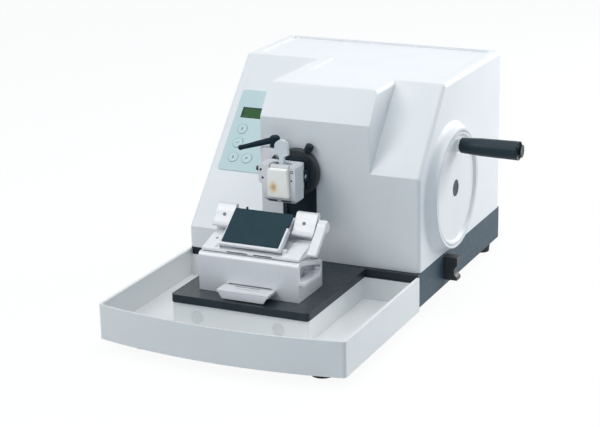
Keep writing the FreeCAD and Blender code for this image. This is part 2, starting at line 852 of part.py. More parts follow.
def housing_cover():
    """Moulded cover of three stepped stretches, each with its own slope, hollowed to one wall."""
    body = new_body("housing_cover")
    left = [("-left_lip", "base_top"), ("housing_depth", "base_top"), ("housing_depth", "cover_top"),
            ("left_top_setback", "cover_top"), ("-left_lip", "left_slope_z")]
    centre = [("0", "base_top"), ("housing_depth", "base_top"), ("housing_depth", "cover_top"),
              ("centre_top_setback", "cover_top"), ("0", "centre_slope_z")]
    right = [("0", "base_top"), ("housing_depth", "base_top"), ("housing_depth", "cover_top"),
             ("right_top_setback", "cover_top"), ("0", "right_slope_z")]
    pad(body, "YZ", left, "-half_width", "-centre_left")
    pad(body, "YZ", right, "centre_right", "half_width")
    shell = pad(body, "YZ", centre, "-centre_left", "centre_right")
    rims = (edges_at(shell, "x", z="cover_top") + edges_at(shell, "y", z="cover_top")
            + edges_at(shell, "z", x=("-half_width", "half_width"), y=("housing_depth", "-left_lip", "0")))
    slopes = slanted_edges(shell, ("-half_width", "half_width"))
    soften(body, shell, rims + slopes, "top_edge_radius")
    collar = [("half_width - overrun", "wheel_radius + wheel_gap"),
              ("half_width - overrun", "wheel_radius + wheel_gap + collar_rim + collar_flare"),
              ("half_width", "wheel_radius + wheel_gap + collar_rim + collar_flare", "collar_cove"),
              ("wheel_face", "wheel_radius + wheel_gap + collar_rim"),
              ("wheel_face", "wheel_radius + wheel_gap")]
    turn(body, "X", ("wheel_y", "wheel_z"), collar)
    below = rectangle("half_width - collar_height", "wheel_face + overrun", "0", "housing_depth / 2")
    # A small wheel's collar ends above the base's rim, and then nothing is trimmed
    raise_or_cut(body, "XY", lambda sketch: outline(sketch, below), "foot_height", "base_top", True, must_change=False)
    inner_left = [("cover_wall - left_lip", "base_top - overrun"),
                  ("housing_depth - cover_wall", "base_top - overrun"),
                  ("housing_depth - cover_wall", "roof_z"),
                  ("left_top_setback + left_shift + (roof_z - cover_top) * left_run / left_climb", "roof_z"),
                  ("cover_wall - left_lip",
                   "left_slope_z + (cover_wall - left_shift) * left_climb / left_run")]
    inner_join = [("cover_wall", "base_top - overrun"), ("housing_depth - cover_wall", "base_top - overrun"),
                  ("housing_depth - cover_wall", "roof_z"), inner_left[3],
                  ("cover_wall",
                   "left_slope_z + (cover_wall + left_lip - left_shift) * left_climb / left_run")]
    inner_centre = [("cover_wall", "base_top - overrun"), ("housing_depth - cover_wall", "base_top - overrun"),
                    ("housing_depth - cover_wall", "roof_z"),
                    ("centre_top_setback + centre_shift + (roof_z - cover_top) * centre_top_setback / centre_climb",
                     "roof_z"),
                    ("cover_wall",
                     "centre_slope_z + (cover_wall - centre_shift) * centre_climb / centre_top_setback")]
    inner_right = [("cover_wall", "base_top - overrun"), ("housing_depth - cover_wall", "base_top - overrun"),
                   ("housing_depth - cover_wall", "roof_z"),
                   ("right_top_setback + right_shift + (roof_z - cover_top) * right_top_setback / right_climb",
                    "roof_z"),
                   ("cover_wall",
                    "right_slope_z + (cover_wall - right_shift) * right_climb / right_top_setback")]
    pocket(body, "YZ", inner_left, "cover_wall - half_width", "-centre_left - cover_wall")
    pocket(body, "YZ", inner_join, "-centre_left - cover_wall", "cover_wall - centre_left")
    pocket(body, "YZ", inner_centre, "cover_wall - centre_left", "centre_right - cover_wall")
    pocket(body, "YZ", inner_right, "centre_right - cover_wall", "half_width - cover_wall")
    tray_top = [("-half_width + tray_top_side_rim", "tray_top_step_y"),
                ("-tray_top_step_x", "tray_top_step_y"),
                ("-tray_top_step_x", "tray_top_front"), ("half_width - tray_top_side_rim", "tray_top_front"),
                ("half_width - tray_top_side_rim", "housing_depth - tray_top_rear_rim"),
                ("-half_width + tray_top_side_rim", "housing_depth - tray_top_rear_rim")]
    pocket(body, "XY", tray_top, "cover_top - tray_top_depth", "cover_top + overrun")
    slot = arched("slot_half_width + slot_reveal", "slot_low - slot_reveal")
    pocket(body, "XZ", slot, "-overrun", "cover_wall + overrun")
    bores(body, "YZ", [("wheel_y", "wheel_z")], "hub_radius + wheel_gap",
          "half_width - cover_wall - overrun", "half_width + overrun")
    inlet = rectangle("inlet_body_left - key_gap", "inlet_body_right + key_gap",
                      "inlet_z - inlet_body_half - key_gap", "inlet_z + inlet_body_half + key_gap")
    pocket(body, "XZ", inlet, "housing_depth - cover_wall - overrun", "housing_depth + overrun")
    bores(body, "XZ", screw_places(), "screw_radius + key_gap",
          "housing_depth - cover_wall - overrun", "housing_depth + overrun")
    panel_window(body)
    seat(body)


def slanted_edges(feature, sides):
    """Edges of the side outline that lie on the outer side faces and slope."""
    found = []
    for number, edge in enumerate(feature.Shape.Edges, 1):
        box = edge.BoundBox
        flat = box.XLength < SAME_PLACE and any(abs(box.XMin - value(side)) < SAME_PLACE for side in sides)
        if flat and box.YLength > value("cover_wall") and box.ZLength > value("cover_wall"):
            found.append(f"Edge{number}")
    return found


def screw_places():
    low = "base_top + screw_low_rise"
    high = "cover_top - screw_high_drop"
    return [(x, z) for x in ("-screw_inset_x", "screw_inset_x") for z in (low, high)]


def panel_window(body):
    """Opening in the left slope behind the control panel, cut square to the slope."""
    sketch = sketch_on(body, "YZ", out="-panel_left + panel_margin")
    up = "left_climb / left_slope_length"
    along = "left_run / left_slope_length"
    corners = []
    low, high = "panel_low + panel_margin", "panel_high - panel_margin"
    for distance, depth in ((low, "-cover_wall * 2"), (high, "-cover_wall * 2"),
                            (high, "cover_wall"), (low, "cover_wall")):
        corners.append((f"-left_lip + ({distance}) * {along} - ({depth}) * {up}",
                        f"left_slope_z + ({distance}) * {up} + ({depth}) * {along}"))
    outline(sketch, corners)
    before = volume_of(body)
    feature = body.newObject("PartDesign::Pocket", "panel_window")
    feature.Profile = sketch
    feature.Reversed = True
    feature.setExpression("Length", bound("panel_left - panel_right - panel_margin * 2"))
    if volume_of(body) >= before:
        raise RuntimeError("housing_cover: the panel window cut nothing")


def cover_screws():
    """Four pan-head screws that hold the cover at the rear."""
    body = new_body("cover_screws")
    bosses(body, "XZ", screw_places(), "screw_head_radius", "housing_depth",
           "housing_depth + screw_head_height")
    bosses(body, "XZ", screw_places(), "screw_radius", "housing_depth - screw_length",
           "housing_depth + overrun")
    seat(body)


def slot_plate():
    """Black column on the housing's front, round at the top, that frames the specimen slot."""
    body = new_body("slot_plate")
    pad(body, "XZ", arched("column_half_width", "deck_top + cover_gap"), "-column_proud", "0")
    pocket(body, "XZ", arched("slot_half_width", "slot_low"), "-column_proud - overrun", "overrun")
    seat(body)


def arched(half, low):
    """Upright outline round the head's path: straight sides up from a level, and a half circle on top."""
    return [(f"-head_x - ({half})", low), (f"-head_x + ({half})", low),
            (f"-head_x + ({half})", "slot_top_z", half),
            (f"-head_x - ({half})", "slot_top_z")]


def control_panel():
    """Keypad plate on the left slope, with the display recess and the key holes."""
    body = new_body("control_panel")
    plate = pad(body, "XY", rectangle("-panel_left", "-panel_right", "panel_low", "panel_high"),
                "0", "panel_thickness")
    corners = edges_at(plate, "z", x=("-panel_left", "-panel_right"))
    soften(body, plate, corners, "panel_corner")
    display = rectangle("-display_left", "-display_right", "display_low", "display_high")
    pocket(body, "XY", display, "-overrun", "panel_thickness + overrun")
    bores(body, "XY", key_places(), "key_radius + key_gap", "-overrun", "panel_thickness + overrun")
    on_slope(body)


def key_places():
    return [("-key_column_one", "key_row_three"), ("-key_column_one", "key_row_two"),
            ("-key_column_one", "key_row_one"), ("-key_column_two", "key_row_one")]


def on_slope(body):
    """Seat a piece drawn flat, across the machine and up the left slope, on that slope."""
    seat(body, y="-left_lip", z="left_slope_z", tilt="left_slope_angle")


def display_window():
    """Display module: a window in the panel and the glass block behind it."""
    body = new_body("display_window")
    window = rectangle("-display_left + key_gap", "-display_right - key_gap",
                       "display_low + key_gap", "display_high - key_gap")
    pad(body, "XY", window, "-board_drop", "panel_thickness - display_recess")
    on_slope(body)


def control_board():
    """Circuit board behind the panel on three posts."""
    body = new_body("control_board")
    low = "panel_low + panel_margin + board_margin"
    high = "panel_high - panel_margin - board_margin"
    left = "-panel_left + panel_margin + board_margin"
    right = "-panel_right - panel_margin - board_margin"
    pad(body, "XY", rectangle(left, right, low, high), "-board_drop - board_thickness", "-board_drop")
    posts = [(f"{right} - board_post_radius", f"{low} + board_post_radius"),
             (f"{left} + board_post_radius", f"{high} - board_post_radius"),
             (f"{right} - board_post_radius", f"{high} - board_post_radius")]
    bosses(body, "XY", posts, "board_post_radius", "-board_drop", "0")
    on_slope(body)


def keys():
    """Sprung round keys, each with a flange that keeps it behind the panel."""
    for label, (x, y) in zip(("key_up", "key_step", "key_down", "key_start"), key_places()):
        body = new_body(label)
        bosses(body, "XY", [(x, y)], "key_radius", "0", "key_height")
        bosses(body, "XY", [(x, y)], "key_radius + key_flange", "-key_gap - key_flange_thickness", "-key_gap")
        bosses(body, "XY", [(x, y)], "key_radius - key_flange", "-board_drop + key_travel + key_gap",
               "overrun / 2")
        on_slope(body)


def slide_frame():
    """Cast upright with a tall window, on a foot in the tub, that carries the slide rails."""
    body = new_body("slide_frame")
    upright = rectangle("-head_x - frame_half_width", "-head_x + frame_half_width", "floor_top", "guide_top")
    block = pad(body, "XZ", upright, "frame_front", "frame_back")
    foot = rectangle("-head_x - frame_half_width", "-head_x + frame_half_width",
                     "frame_front - frame_thickness", "frame_back + frame_thickness * 2")
    pad(body, "XY", foot, "floor_top", "floor_top + frame_thickness")
    window = rectangle("-head_x - frame_window_half", "-head_x + frame_window_half",
                       "head_z - stroke - frame_window_half - cover_wall",
                       "head_z + frame_window_half + cover_wall")
    pocket(body, "XZ", window, "frame_front - overrun", "frame_back + overrun")
    seat(body)


def slide_rails():
    """Two square rails on the upright that guide the specimen carriage up and down."""
    body = new_body("slide_rails")
    for middle in ("-head_x - guide_x", "-head_x + guide_x"):
        rail = rectangle(f"{middle} - guide_half", f"{middle} + guide_half", "guide_front", "frame_front")
        pad(body, "XY", rail, "floor_top + frame_thickness + guide_bottom_lift",
            "guide_top - guide_bottom_lift")
    seat(body)


def carriage():
    """Vertical carriage: a plate with a bored nose for the quill and a channel round each rail."""
    body = new_body("carriage")
    middle = "-head_x"
    plate = rectangle(f"{middle} - carriage_half_width", f"{middle} + carriage_half_width",
                      "head_z - carriage_low", "head_z + carriage_high")
    pad(body, "XZ", plate, "carriage_front", "frame_front - frame_gap")
    for side, sign in (("-", "+"), ("+", "-")):
        rail = f"{middle} {side} guide_x"
        channel = rectangle(f"{rail} - guide_half - guide_clearance", f"{rail} + guide_half + guide_clearance",
                            "guide_front - guide_clearance", "frame_front")
        pocket(body, "XY", channel, "head_z - carriage_low - overrun", "head_z + carriage_high + overrun")
    inner = "guide_x - guide_half - guide_clearance - runner_wall"
    relief = rectangle(f"{middle} - ({inner})", f"{middle} + ({inner})", "carriage_back", "frame_front")
    pocket(body, "XY", relief, "head_z - carriage_low - overrun", "head_z + carriage_high + overrun")
    bosses(body, "XZ", [("-head_x", "head_z")], "quill_radius + bush_wall + quill_wall_end / 2",
           "cover_wall + shield_gap + shield_thickness", "carriage_front + overrun")
    bores(body, "XZ", [("-head_x", "head_z")], "quill_radius + bush_wall + running_clearance / 2",
          "cover_wall", "carriage_back + overrun")
    seat(body)


def quill_bush():
    """Bronze bush in the carriage's nose that the quill slides in."""
    body = new_body("quill_bush")
    front = "cover_wall + shield_gap + shield_thickness"
    turn(body, "Y", ("-head_x", "head_z"),
         [("quill_radius + running_clearance", front), ("quill_radius + bush_wall", front),
          ("quill_radius + bush_wall", "carriage_back"),
          ("quill_radius + running_clearance", "carriage_back")])
    seat(body)


def slot_shield():
    """Black shield behind the housing's slot that travels with the carriage."""
    body = new_body("slot_shield")
    plate = rectangle("-head_x - shield_half_width", "-head_x + shield_half_width", "shield_low",
                      "shield_high")
    pad(body, "XZ", plate, "cover_wall + shield_gap", "cover_wall + shield_gap + shield_thickness")
    bores(body, "XZ", [("-head_x", "head_z")], "quill_radius + cover_gap", "cover_wall",
          "cover_wall + shield_gap + shield_thickness + overrun")
    seat(body)


def yoke_plate():
    """Plate on the carriage's right side with the level slot that the crank pin works in."""
    body = new_body("yoke_plate")
    reach = "wheel_y + crank_throw + crank_pin_radius + yoke_slot_half"
    plate = rectangle("carriage_front", f"{reach} + yoke_wall",
                      "pin_z - yoke_slot_half - yoke_wall", "pin_z + yoke_slot_half + yoke_wall")
    pad(body, "YZ", plate, "yoke_x0", "yoke_x1")
    slot = rectangle("wheel_y - crank_throw - crank_pin_radius - yoke_slot_half / 2",
                     "wheel_y + crank_throw + crank_pin_radius + yoke_slot_half / 2",
                     "pin_z - yoke_slot_half", "pin_z + yoke_slot_half")
    pocket(body, "YZ", slot, "yoke_x0 - overrun", "yoke_x1 + overrun")
    seat(body)


def feed_motor():
    """Stepping motor of the feed with its four standoffs to the carriage."""
    body = new_body("feed_motor")
    square = rectangle("-head_x - feed_motor_half", "-head_x + feed_motor_half",
                       "head_z - feed_motor_half", "head_z + feed_motor_half")
    block = pad(body, "XZ", square, "motor_front", "motor_back")
    corners = edges_at(block, "y", x=("-head_x - feed_motor_half", "-head_x + feed_motor_half"))
    soften(body, block, corners, "cover_wall", "PartDesign::Chamfer")
    spots = [(f"-head_x {a} (feed_motor_half - cover_wall)", f"head_z {b} (feed_motor_half - cover_wall)")
             for a in "+-" for b in "+-"]
    bosses(body, "XZ", spots, "feed_screw_radius / 2 + overrun", "carriage_back", "motor_front + overrun")
    bores(body, "XZ", [("-head_x", "head_z")], "feed_screw_radius + cover_gap",
          "motor_front - overrun", "motor_back + overrun")
    seat(body)


def quill():
    """Hollow feed cylinder with a closed nose that carries the specimen head."""
    body = new_body("quill")
    turn(body, "Y", ("-head_x", "head_z"),
         [("0", "quill_front"), ("quill_radius", "quill_front"), ("quill_radius", "quill_back"),
          ("quill_bore", "quill_back"), ("quill_bore", "quill_wall_end"), ("0", "quill_wall_end")])
    seat(body)


def feed_screw():
    """Feed screw fixed in the quill's nose and running back through the motor."""
    body = new_body("feed_screw")
    turn(body, "Y", ("-head_x", "head_z"),
         [("0", "quill_wall_end"), ("feed_nose_radius", "quill_wall_end"),
          ("feed_nose_radius", "quill_wall_end + bush_flange"),
          ("feed_screw_radius", "quill_wall_end + bush_flange"),
          ("feed_screw_radius", "motor_back + feed_screw_radius"), ("0", "motor_back + feed_screw_radius")])
    seat(body)


def bearing_block():
    """Bearing block on the tub's floor for the handwheel shaft."""
    body = new_body("bearing_block")
    tower = [("wheel_y - bearing_block_foot_half", "floor_top"),
             ("wheel_y + bearing_block_foot_half", "floor_top"),
             ("wheel_y + bearing_block_foot_half", "floor_top + bearing_block_foot_height"),
             ("wheel_y + bearing_block_half", "wheel_z"),
             ("wheel_y + bearing_block_half", "wheel_z + bearing_block_half"),
             ("wheel_y - bearing_block_half", "wheel_z + bearing_block_half"),
             ("wheel_y - bearing_block_half", "wheel_z"),
             ("wheel_y - bearing_block_foot_half", "floor_top + bearing_block_foot_height")]
    pad(body, "YZ", tower, "bearing_block_x0", "bearing_block_x1")
    bores(body, "YZ", [("wheel_y", "wheel_z")], "bearing_outer_radius",
          "bearing_block_x0 - overrun", "bearing_block_x1 + overrun")
    seat(body)


def shaft_bearings():
    """Two ball bearings in the block, each drawn as one closed ring."""
    body = new_body("shaft_bearings")
    for start in ("bearing_inner_x", "bearing_outer_x"):
        turn(body, "X", ("wheel_y", "wheel_z"),
             [(start, "shaft_radius + running_clearance"),
              (f"{start} + bearing_width", "shaft_radius + running_clearance"),
              (f"{start} + bearing_width", "bearing_outer_radius"), (start, "bearing_outer_radius")])
    seat(body)


def wheel_shaft():
    """Handwheel shaft from the crank disc to the hub."""
    body = new_body("wheel_shaft")
    turn(body, "X", ("wheel_y", "wheel_z"),
         [("crank_x0", "0"), ("dish_x - wheel_web", "0"), ("dish_x - wheel_web", "shaft_radius"),
          ("crank_x0", "shaft_radius")])
    seat(body)


def crank_disc():
    """Crank disc with its stub pin and a balance weight opposite the pin."""
    body = new_body("crank_disc")
    turn(body, "X", ("wheel_y", "wheel_z"),
         [("crank_x0", "shaft_radius"), ("crank_x1", "shaft_radius"), ("crank_x1", "crank_radius"),
          ("crank_x0", "crank_radius")])
    bosses(body, "YZ", [("wheel_y", "pin_z")], "crank_pin_radius",
           "yoke_x1 + open_pivot_gap", "crank_x0 + overrun")
    for sign in "+-":
        bores(body, "YZ", [(f"wheel_y {sign} crank_radius / 2", "wheel_z + crank_radius / 4")],
              "crank_pin_radius + cover_wall", "crank_x0 - overrun", "crank_x1 + overrun")
    seat(body)


def handwheel():
    """Dished handwheel with a rim, a web and a hub that clamps the shaft."""
    body = new_body("handwheel")
    hub_end = "dish_x - wheel_web - hub_length"
    turn(body, "X", ("wheel_y", "wheel_z"),
         [("dish_x", "0"), ("dish_x", "wheel_radius - wheel_rim_width - wheel_dish"),
          ("wheel_face", "wheel_radius - wheel_rim_width"),
          ("wheel_face", "wheel_radius"), ("wheel_back", "wheel_radius"),
          ("wheel_back", "wheel_radius - wheel_web"), ("dish_x - wheel_web", "wheel_radius - wheel_web * 2"),
          ("dish_x - wheel_web", "hub_radius"), (hub_end, "hub_radius"), (hub_end, "shaft_radius"),
          ("dish_x - wheel_web", "shaft_radius"), ("dish_x - wheel_web", "0")])
    bores(body, "YZ", [("wheel_y", "wheel_z")], "cap_radius + cover_gap",
          "dish_x - cap_thickness", "dish_x + overrun")
    bosses(body, "YZ", [("grip_y", "grip_z")], "grip_boss_radius", "dish_x - overrun", "grip_x - cover_gap")
    bores(body, "YZ", [("grip_y", "grip_z")], "axle_radius", "wheel_back - overrun", "grip_x + overrun")
    seat(body)


def hub_cap():
    """Dark cap sunk in the middle of the wheel."""
    body = new_body("hub_cap")
    bosses(body, "YZ", [("wheel_y", "wheel_z")], "cap_radius", "dish_x - cap_thickness", "dish_x - cap_sink")
    seat(body)


def grip_axle():
    """Steel axle fixed in the wheel's boss, on which the hand grip turns."""
    body = new_body("grip_axle")
    turn(body, "X", ("grip_y", "grip_z"),
         [("wheel_back + cover_gap", "0"), ("grip_tip - axle_tail", "0"),
          ("grip_tip - axle_tail", "axle_radius"),
          ("wheel_back + cover_gap", "axle_radius")])
    seat(body)


def hand_grip():
    """Turning grip, slimmer at the wheel and closed at the end, with a blind bore for its axle."""
    body = new_body("hand_grip")
    profile = [("grip_x", "axle_radius + running_clearance"), ("grip_x", "grip_small_radius - grip_edge"),
               ("grip_x + grip_edge", "grip_small_radius"), ("grip_x + grip_length / 3", "grip_middle_radius"),
               ("grip_tip - grip_end_radius", "grip_large_radius", "-grip_end_radius * quarter_arc_share"),
               ("grip_tip", "grip_large_radius - grip_end_radius"), ("grip_tip", "0"),
               ("grip_tip - axle_tail + cover_gap", "0"),
               ("grip_tip - axle_tail + cover_gap", "axle_radius + running_clearance")]
    turn(body, "X", ("grip_y", "grip_z"), profile)
    seat(body)


def head_flange():
    """Round black flange of the specimen head, with a chamfered front edge."""
    body = new_body("head_flange")
    turn(body, "Y", ("-head_x", "head_z"),
         [("0", "-flange_front"), ("flange_radius - flange_edge", "-flange_front"),
          ("flange_radius", "-flange_front + flange_edge"), ("flange_radius", "-flange_back"),
          ("quill_radius", "-flange_back"), ("quill_radius", "quill_front"), ("0", "quill_front")])
    knob_bore(body)
    seat(body)


def knob_bore(body):
    """Radial hole in the flange's edge for the lock knob's stem."""
    sketch = sketch_on(body, "XZ", across="-head_x", up="head_z", out="knob_y")
    sine = "sin(knob_angle)"
    cosine = "cos(knob_angle)"
    start = "(knob_seat - knob_stem_depth - overrun)"
    end = "(flange_radius + overrun * 3)"
    reach = "(knob_stem_radius + running_clearance)"
    outline(sketch, [(f"{start} * {cosine}", f"{start} * {sine}"), (f"{end} * {cosine}", f"{end} * {sine}"),
                     (f"{end} * {cosine} - {reach} * {sine}", f"{end} * {sine} + {reach} * {cosine}"),
                     (f"{start} * {cosine} - {reach} * {sine}", f"{start} * {sine} + {reach} * {cosine}")])
    rim = FreeCAD.Vector(value(f"flange_radius * {cosine}"), value(f"flange_radius * {sine}"), 0)
    axis = sketch.addGeometry(Part.LineSegment(FreeCAD.Vector(), rim), True)
    sketch.addConstraint(Sketcher.Constraint("Coincident", axis, 1, -1, 1))
    sketch.addConstraint(Sketcher.Constraint("Parallel", axis, 0))
    length = sketch.addConstraint(Sketcher.Constraint("Distance", axis, value("flange_radius")))
    sketch.setExpression(f"Constraints[{length}]", bound("flange_radius"))
    before = volume_of(body)
    groove = body.newObject("PartDesign::Groove", "knob_bore")
    groove.Profile = sketch
    groove.ReferenceAxis = (sketch, ["Axis0"])
    groove.Angle = 360
    if volume_of(body) >= before:
        raise RuntimeError("head_flange: the knob bore cut nothing")


def head_knob():
    """Small lock knob on a stem that screws radially into the flange."""
    body = new_body("head_knob")
    turn(body, "X", ("0", "0"),
         [("knob_seat - knob_stem_depth", "0"), ("knob_seat + knob_length", "0"),
          ("knob_seat + knob_length", "knob_radius - flange_edge / 2"),
          ("knob_seat + knob_length - flange_edge / 2", "knob_radius"),
          ("knob_seat + flange_edge / 2", "knob_radius"), ("knob_seat", "knob_radius - flange_edge / 2"),
          ("knob_seat", "knob_stem_radius"), ("knob_seat - knob_stem_depth", "knob_stem_radius")])
    seat(body, x="-head_x", y="-knob_y", z="head_z")
    body.Placement = FreeCAD.Placement(FreeCAD.Vector(), FreeCAD.Rotation(FreeCAD.Vector(0, -1, 0), 1))
    body.setExpression("Placement.Rotation.Angle", bound("knob_angle"))


def orientation_cradle():
    """Plate on the flange with two ears for the first tilt axis and an arm to the lock block."""
    body = new_body("orientation_cradle")
    half = "cradle_half"
    pad(body, "XZ",
        rectangle(f"-head_x - {half}", f"-head_x + {half}", f"head_z - {half}", f"head_z + {half}"),
        "-cradle_front", "-flange_front")
    for inner, outer in (("-head_x - cradle_half", "-head_x - cradle_half + ear_thickness"),
                         ("-head_x + cradle_half - ear_thickness", "-head_x + cradle_half")):
        ear = rectangle(inner, outer, "head_z - ear_half_height", "head_z + ear_half_height")
        pad(body, "XZ", ear, "-cradle_front - ear_reach", "-cradle_front + overrun")
    bores(body, "YZ", [("-tilt_axis_y", "head_z")], "trunnion_radius + running_clearance",
          "-head_x - cradle_half - overrun", "-head_x + cradle_half + overrun")
    arm = rectangle("-lever_post_x + lock_block_right", "-head_x - cradle_half + ear_thickness",
                    "-lever_post_y", "-flange_front")
    pad(body, "XY", arm, "head_z + cradle_arm_low", "head_z + cradle_half")
    seat(body)


def lock_block():
    """Block on the cradle's arm that houses the orientation lock, with the lever's post on top."""
    body = new_body("lock_block")
    left, right = "-lever_post_x - lock_block_left", "-lever_post_x + lock_block_right"
    front, rear = "-lever_post_y - lock_block_front", "-lever_post_y + lock_block_rear"
    top = "head_z + lock_block_high"
    block = pad(body, "XY", rectangle(left, right, front, rear), "head_z + lock_block_low", top)
    corners = edges_at(block, "z", x=left) + edges_at(block, "y", x=left, z=top)
    soften(body, block, corners, "lock_block_edge")
    bosses(body, "XY", [("-lever_post_x", "-lever_post_y")], "lever_post_radius",
           f"{top} - overrun", "head_z + lever_hub_high - cover_wall")
    seat(body)


def orientation_ring():
    """Gimbal ring: pins across the machine in the cradle, bores up and down for the block."""
    body = new_body("orientation_ring")
    front = "-tilt_axis_y - ring_half_depth"
    back = "-tilt_axis_y + ring_half_depth"
    pad(body, "XZ", rectangle("-head_x - ring_half_width", "-head_x + ring_half_width",
                              "head_z - ring_half_height", "head_z + ring_half_height"), front, back)
    pocket(body, "XZ", rectangle("-head_x - ring_window_half_width", "-head_x + ring_window_half_width",
                                 "head_z - ring_window_half_height", "head_z + ring_window_half_height"),
           f"{front} - overrun", f"{back} + overrun")
    for low, high in (("-head_x - cradle_half + cover_gap", "-head_x - ring_half_width + overrun"),
                      ("-head_x + ring_half_width - overrun", "-head_x + cradle_half - cover_gap")):
        bosses(body, "YZ", [("-tilt_axis_y", "head_z")], "trunnion_radius", low, high)
    bores(body, "XY", [("-head_x", "-tilt_axis_y")], "trunnion_radius + running_clearance",
          "head_z - ring_half_height - overrun", "head_z + ring_half_height + overrun")
    seat(body)


def orientation_block():
    """Inner block of the gimbal, with its upright pins and the plate that carries the clamp."""
    body = new_body("orientation_block")
    pad(body, "XZ", rectangle("-head_x - block_half_width", "-head_x + block_half_width",
                              "head_z - block_half_height", "head_z + block_half_height"),
        "-block_plate_back - overrun", "-block_back")
    pad(body, "XZ", rectangle("-head_x - block_plate_half", "-head_x + block_plate_half",
                              "head_z - block_plate_half", "head_z + block_plate_half"),
        "-block_plate_front", "-block_plate_back")
    bosses(body, "XY", [("-head_x", "-tilt_axis_y")], "trunnion_radius",
           "head_z - ring_half_height + cover_gap", "head_z + ring_half_height - cover_gap")
    seat(body)


def orientation_lever():
    """Black clamp lever of the orientation unit: a hub on its post and a drooping, round-ended arm."""
    body = new_body("orientation_lever")
    turn(body, "Z", ("0", "0"),
         [("lever_post_radius + running_clearance", "lever_hub_low"), ("lever_hub_radius", "lever_hub_low"),
          ("lever_hub_radius", "lever_hub_high - flange_edge"),
          ("lever_hub_radius - flange_edge", "lever_hub_high"),
          ("0", "lever_hub_high"), ("0", "lever_hub_high - cover_wall"),
          ("lever_post_radius + running_clearance", "lever_hub_high - cover_wall")])
    arm = body.newObject("PartDesign::AdditiveLoft", "lever_arm")
    root = arm_section(body, "lever_hub_radius / 2 + lever_post_radius / 2", "lever_arm_root",
                       "(lever_hub_low + lever_hub_high) / 2 + overrun")
    tip = arm_section(body, "lever_arm_length", "lever_arm_tip",
                      "(lever_hub_low + lever_hub_high) / 2 - lever_arm_drop")
    arm.Profile = root
    arm.Sections = [(tip, [""])]
    turn(body, "X", ("0", "(lever_hub_low + lever_hub_high) / 2 - lever_arm_drop"),
         [("-lever_arm_length - lever_end_radius", "0", "lever_end_radius"),
          ("-lever_arm_length + lever_end_radius", "0")])
    seat(body, x="-lever_post_x", y="-lever_post_y", z="head_z")
    body.Placement = FreeCAD.Placement(FreeCAD.Vector(), FreeCAD.Rotation(FreeCAD.Vector(0, 0, 1), 1))
    body.setExpression("Placement.Rotation.Angle", bound("lever_arm_sweep"))


def arm_section(body, distance, radius, rise):
    sketch = sketch_on(body, "YZ", out=f"-({distance})")
    circles(sketch, [("0", rise)], radius)
    sketch.Visibility = False
    return sketch


def clamp_body():
    """Cassette clamp: a back web, a fixed bevelled lower lip and two cheeks, the left one with a lug."""
    body = new_body("clamp_body")
    left, right = "-head_x - clamp_left", "-head_x + clamp_right"
    waist = "-head_x - clamp_left_low"
    low, high = "head_z - clamp_low", "head_z + clamp_high"
    lug_low = "head_z - clamp_lug_low"
    front_view = [(f"{waist} + clamp_bevel_width", low), (f"{right} - clamp_chamfer", low),
                  (right, f"{low} + clamp_chamfer"), (right, f"{high} - clamp_chamfer"),
                  (f"{right} - clamp_chamfer", high), (f"{left} + clamp_chamfer", high),
                  (left, f"{high} - clamp_chamfer"), (left, lug_low), (waist, f"{lug_low} - clamp_lug_taper"),
                  (waist, f"{low} + clamp_bevel_height")]
    block = pad(body, "XZ", front_view, "-clamp_front", "-block_plate_front")
    edges = edges_at(block, "x", y="-clamp_front", z=low)
    soften(body, block, edges, "clamp_underside", "PartDesign::Chamfer")
    mouth = rectangle("-head_x - mouth_half_width", "-head_x + mouth_half_width",
                      "head_z - cassette_half_height", f"{high} + overrun")
    pocket(body, "XZ", mouth, "-clamp_front - overrun", "-wax_front + wax_depth + cassette_depth")
    lever_room = rectangle("-head_x - mouth_half_width", "-head_x + mouth_half_width",
                           "paddle_pivot_z - paddle_eye_radius - cover_gap", f"{high} + overrun")
    pocket(body, "XZ", lever_room, "-clamp_front - overrun", "-block_plate_front - clamp_web")
    bores(body, "YZ", [("-paddle_pivot_y", "paddle_pivot_z")], "paddle_pivot_radius + running_clearance",
          f"{waist} + clamp_chamfer / 2", f"{right} - clamp_chamfer / 2")
    seat(body)


def cassette():
    """Embedding cassette held in the clamp's mouth: a tray with its chamfered writing edge."""
    body = new_body("cassette")
    front, back = "-wax_front + wax_depth", "-wax_front + wax_depth + cassette_depth"
    low, high = "head_z - cassette_half_height", "head_z + cassette_half_height"
    pad(body, "XZ", rectangle("-head_x - cassette_half_width", "-head_x + cassette_half_width", low, high),
        front, back)
    hollow = rectangle("-head_x - cassette_half_width + cassette_wall",
                       "-head_x + cassette_half_width - cassette_wall",
                       f"{low} + cassette_wall * 2", f"{high} - cassette_wall")
    pocket(body, "XZ", hollow, f"{front} + cassette_wall", f"{back} + overrun")
    seat(body)


def wax_block():
    """Paraffin block on the cassette, narrower at the top, with softened edges."""
    body = new_body("wax_block")
    left, right = "-head_x - wax_half_width", "-head_x + wax_half_width"
    low, high = "head_z - wax_half_height", "head_z + wax_half_height"
    high_left, high_right = f"{left} + wax_lean_left", f"{right} - wax_lean_right"
    face = [(left, low), (right, low), (high_right, high), (high_left, high)]
    block = pad(body, "XZ", face, "-wax_front", "-wax_front + wax_depth")
    edges = edges_at(block, "y", x=(left, right, high_left, high_right)) + edges_at(block, "x", y="-wax_front")
    soften(body, block, edges, "wax_edge")
    seat(body)


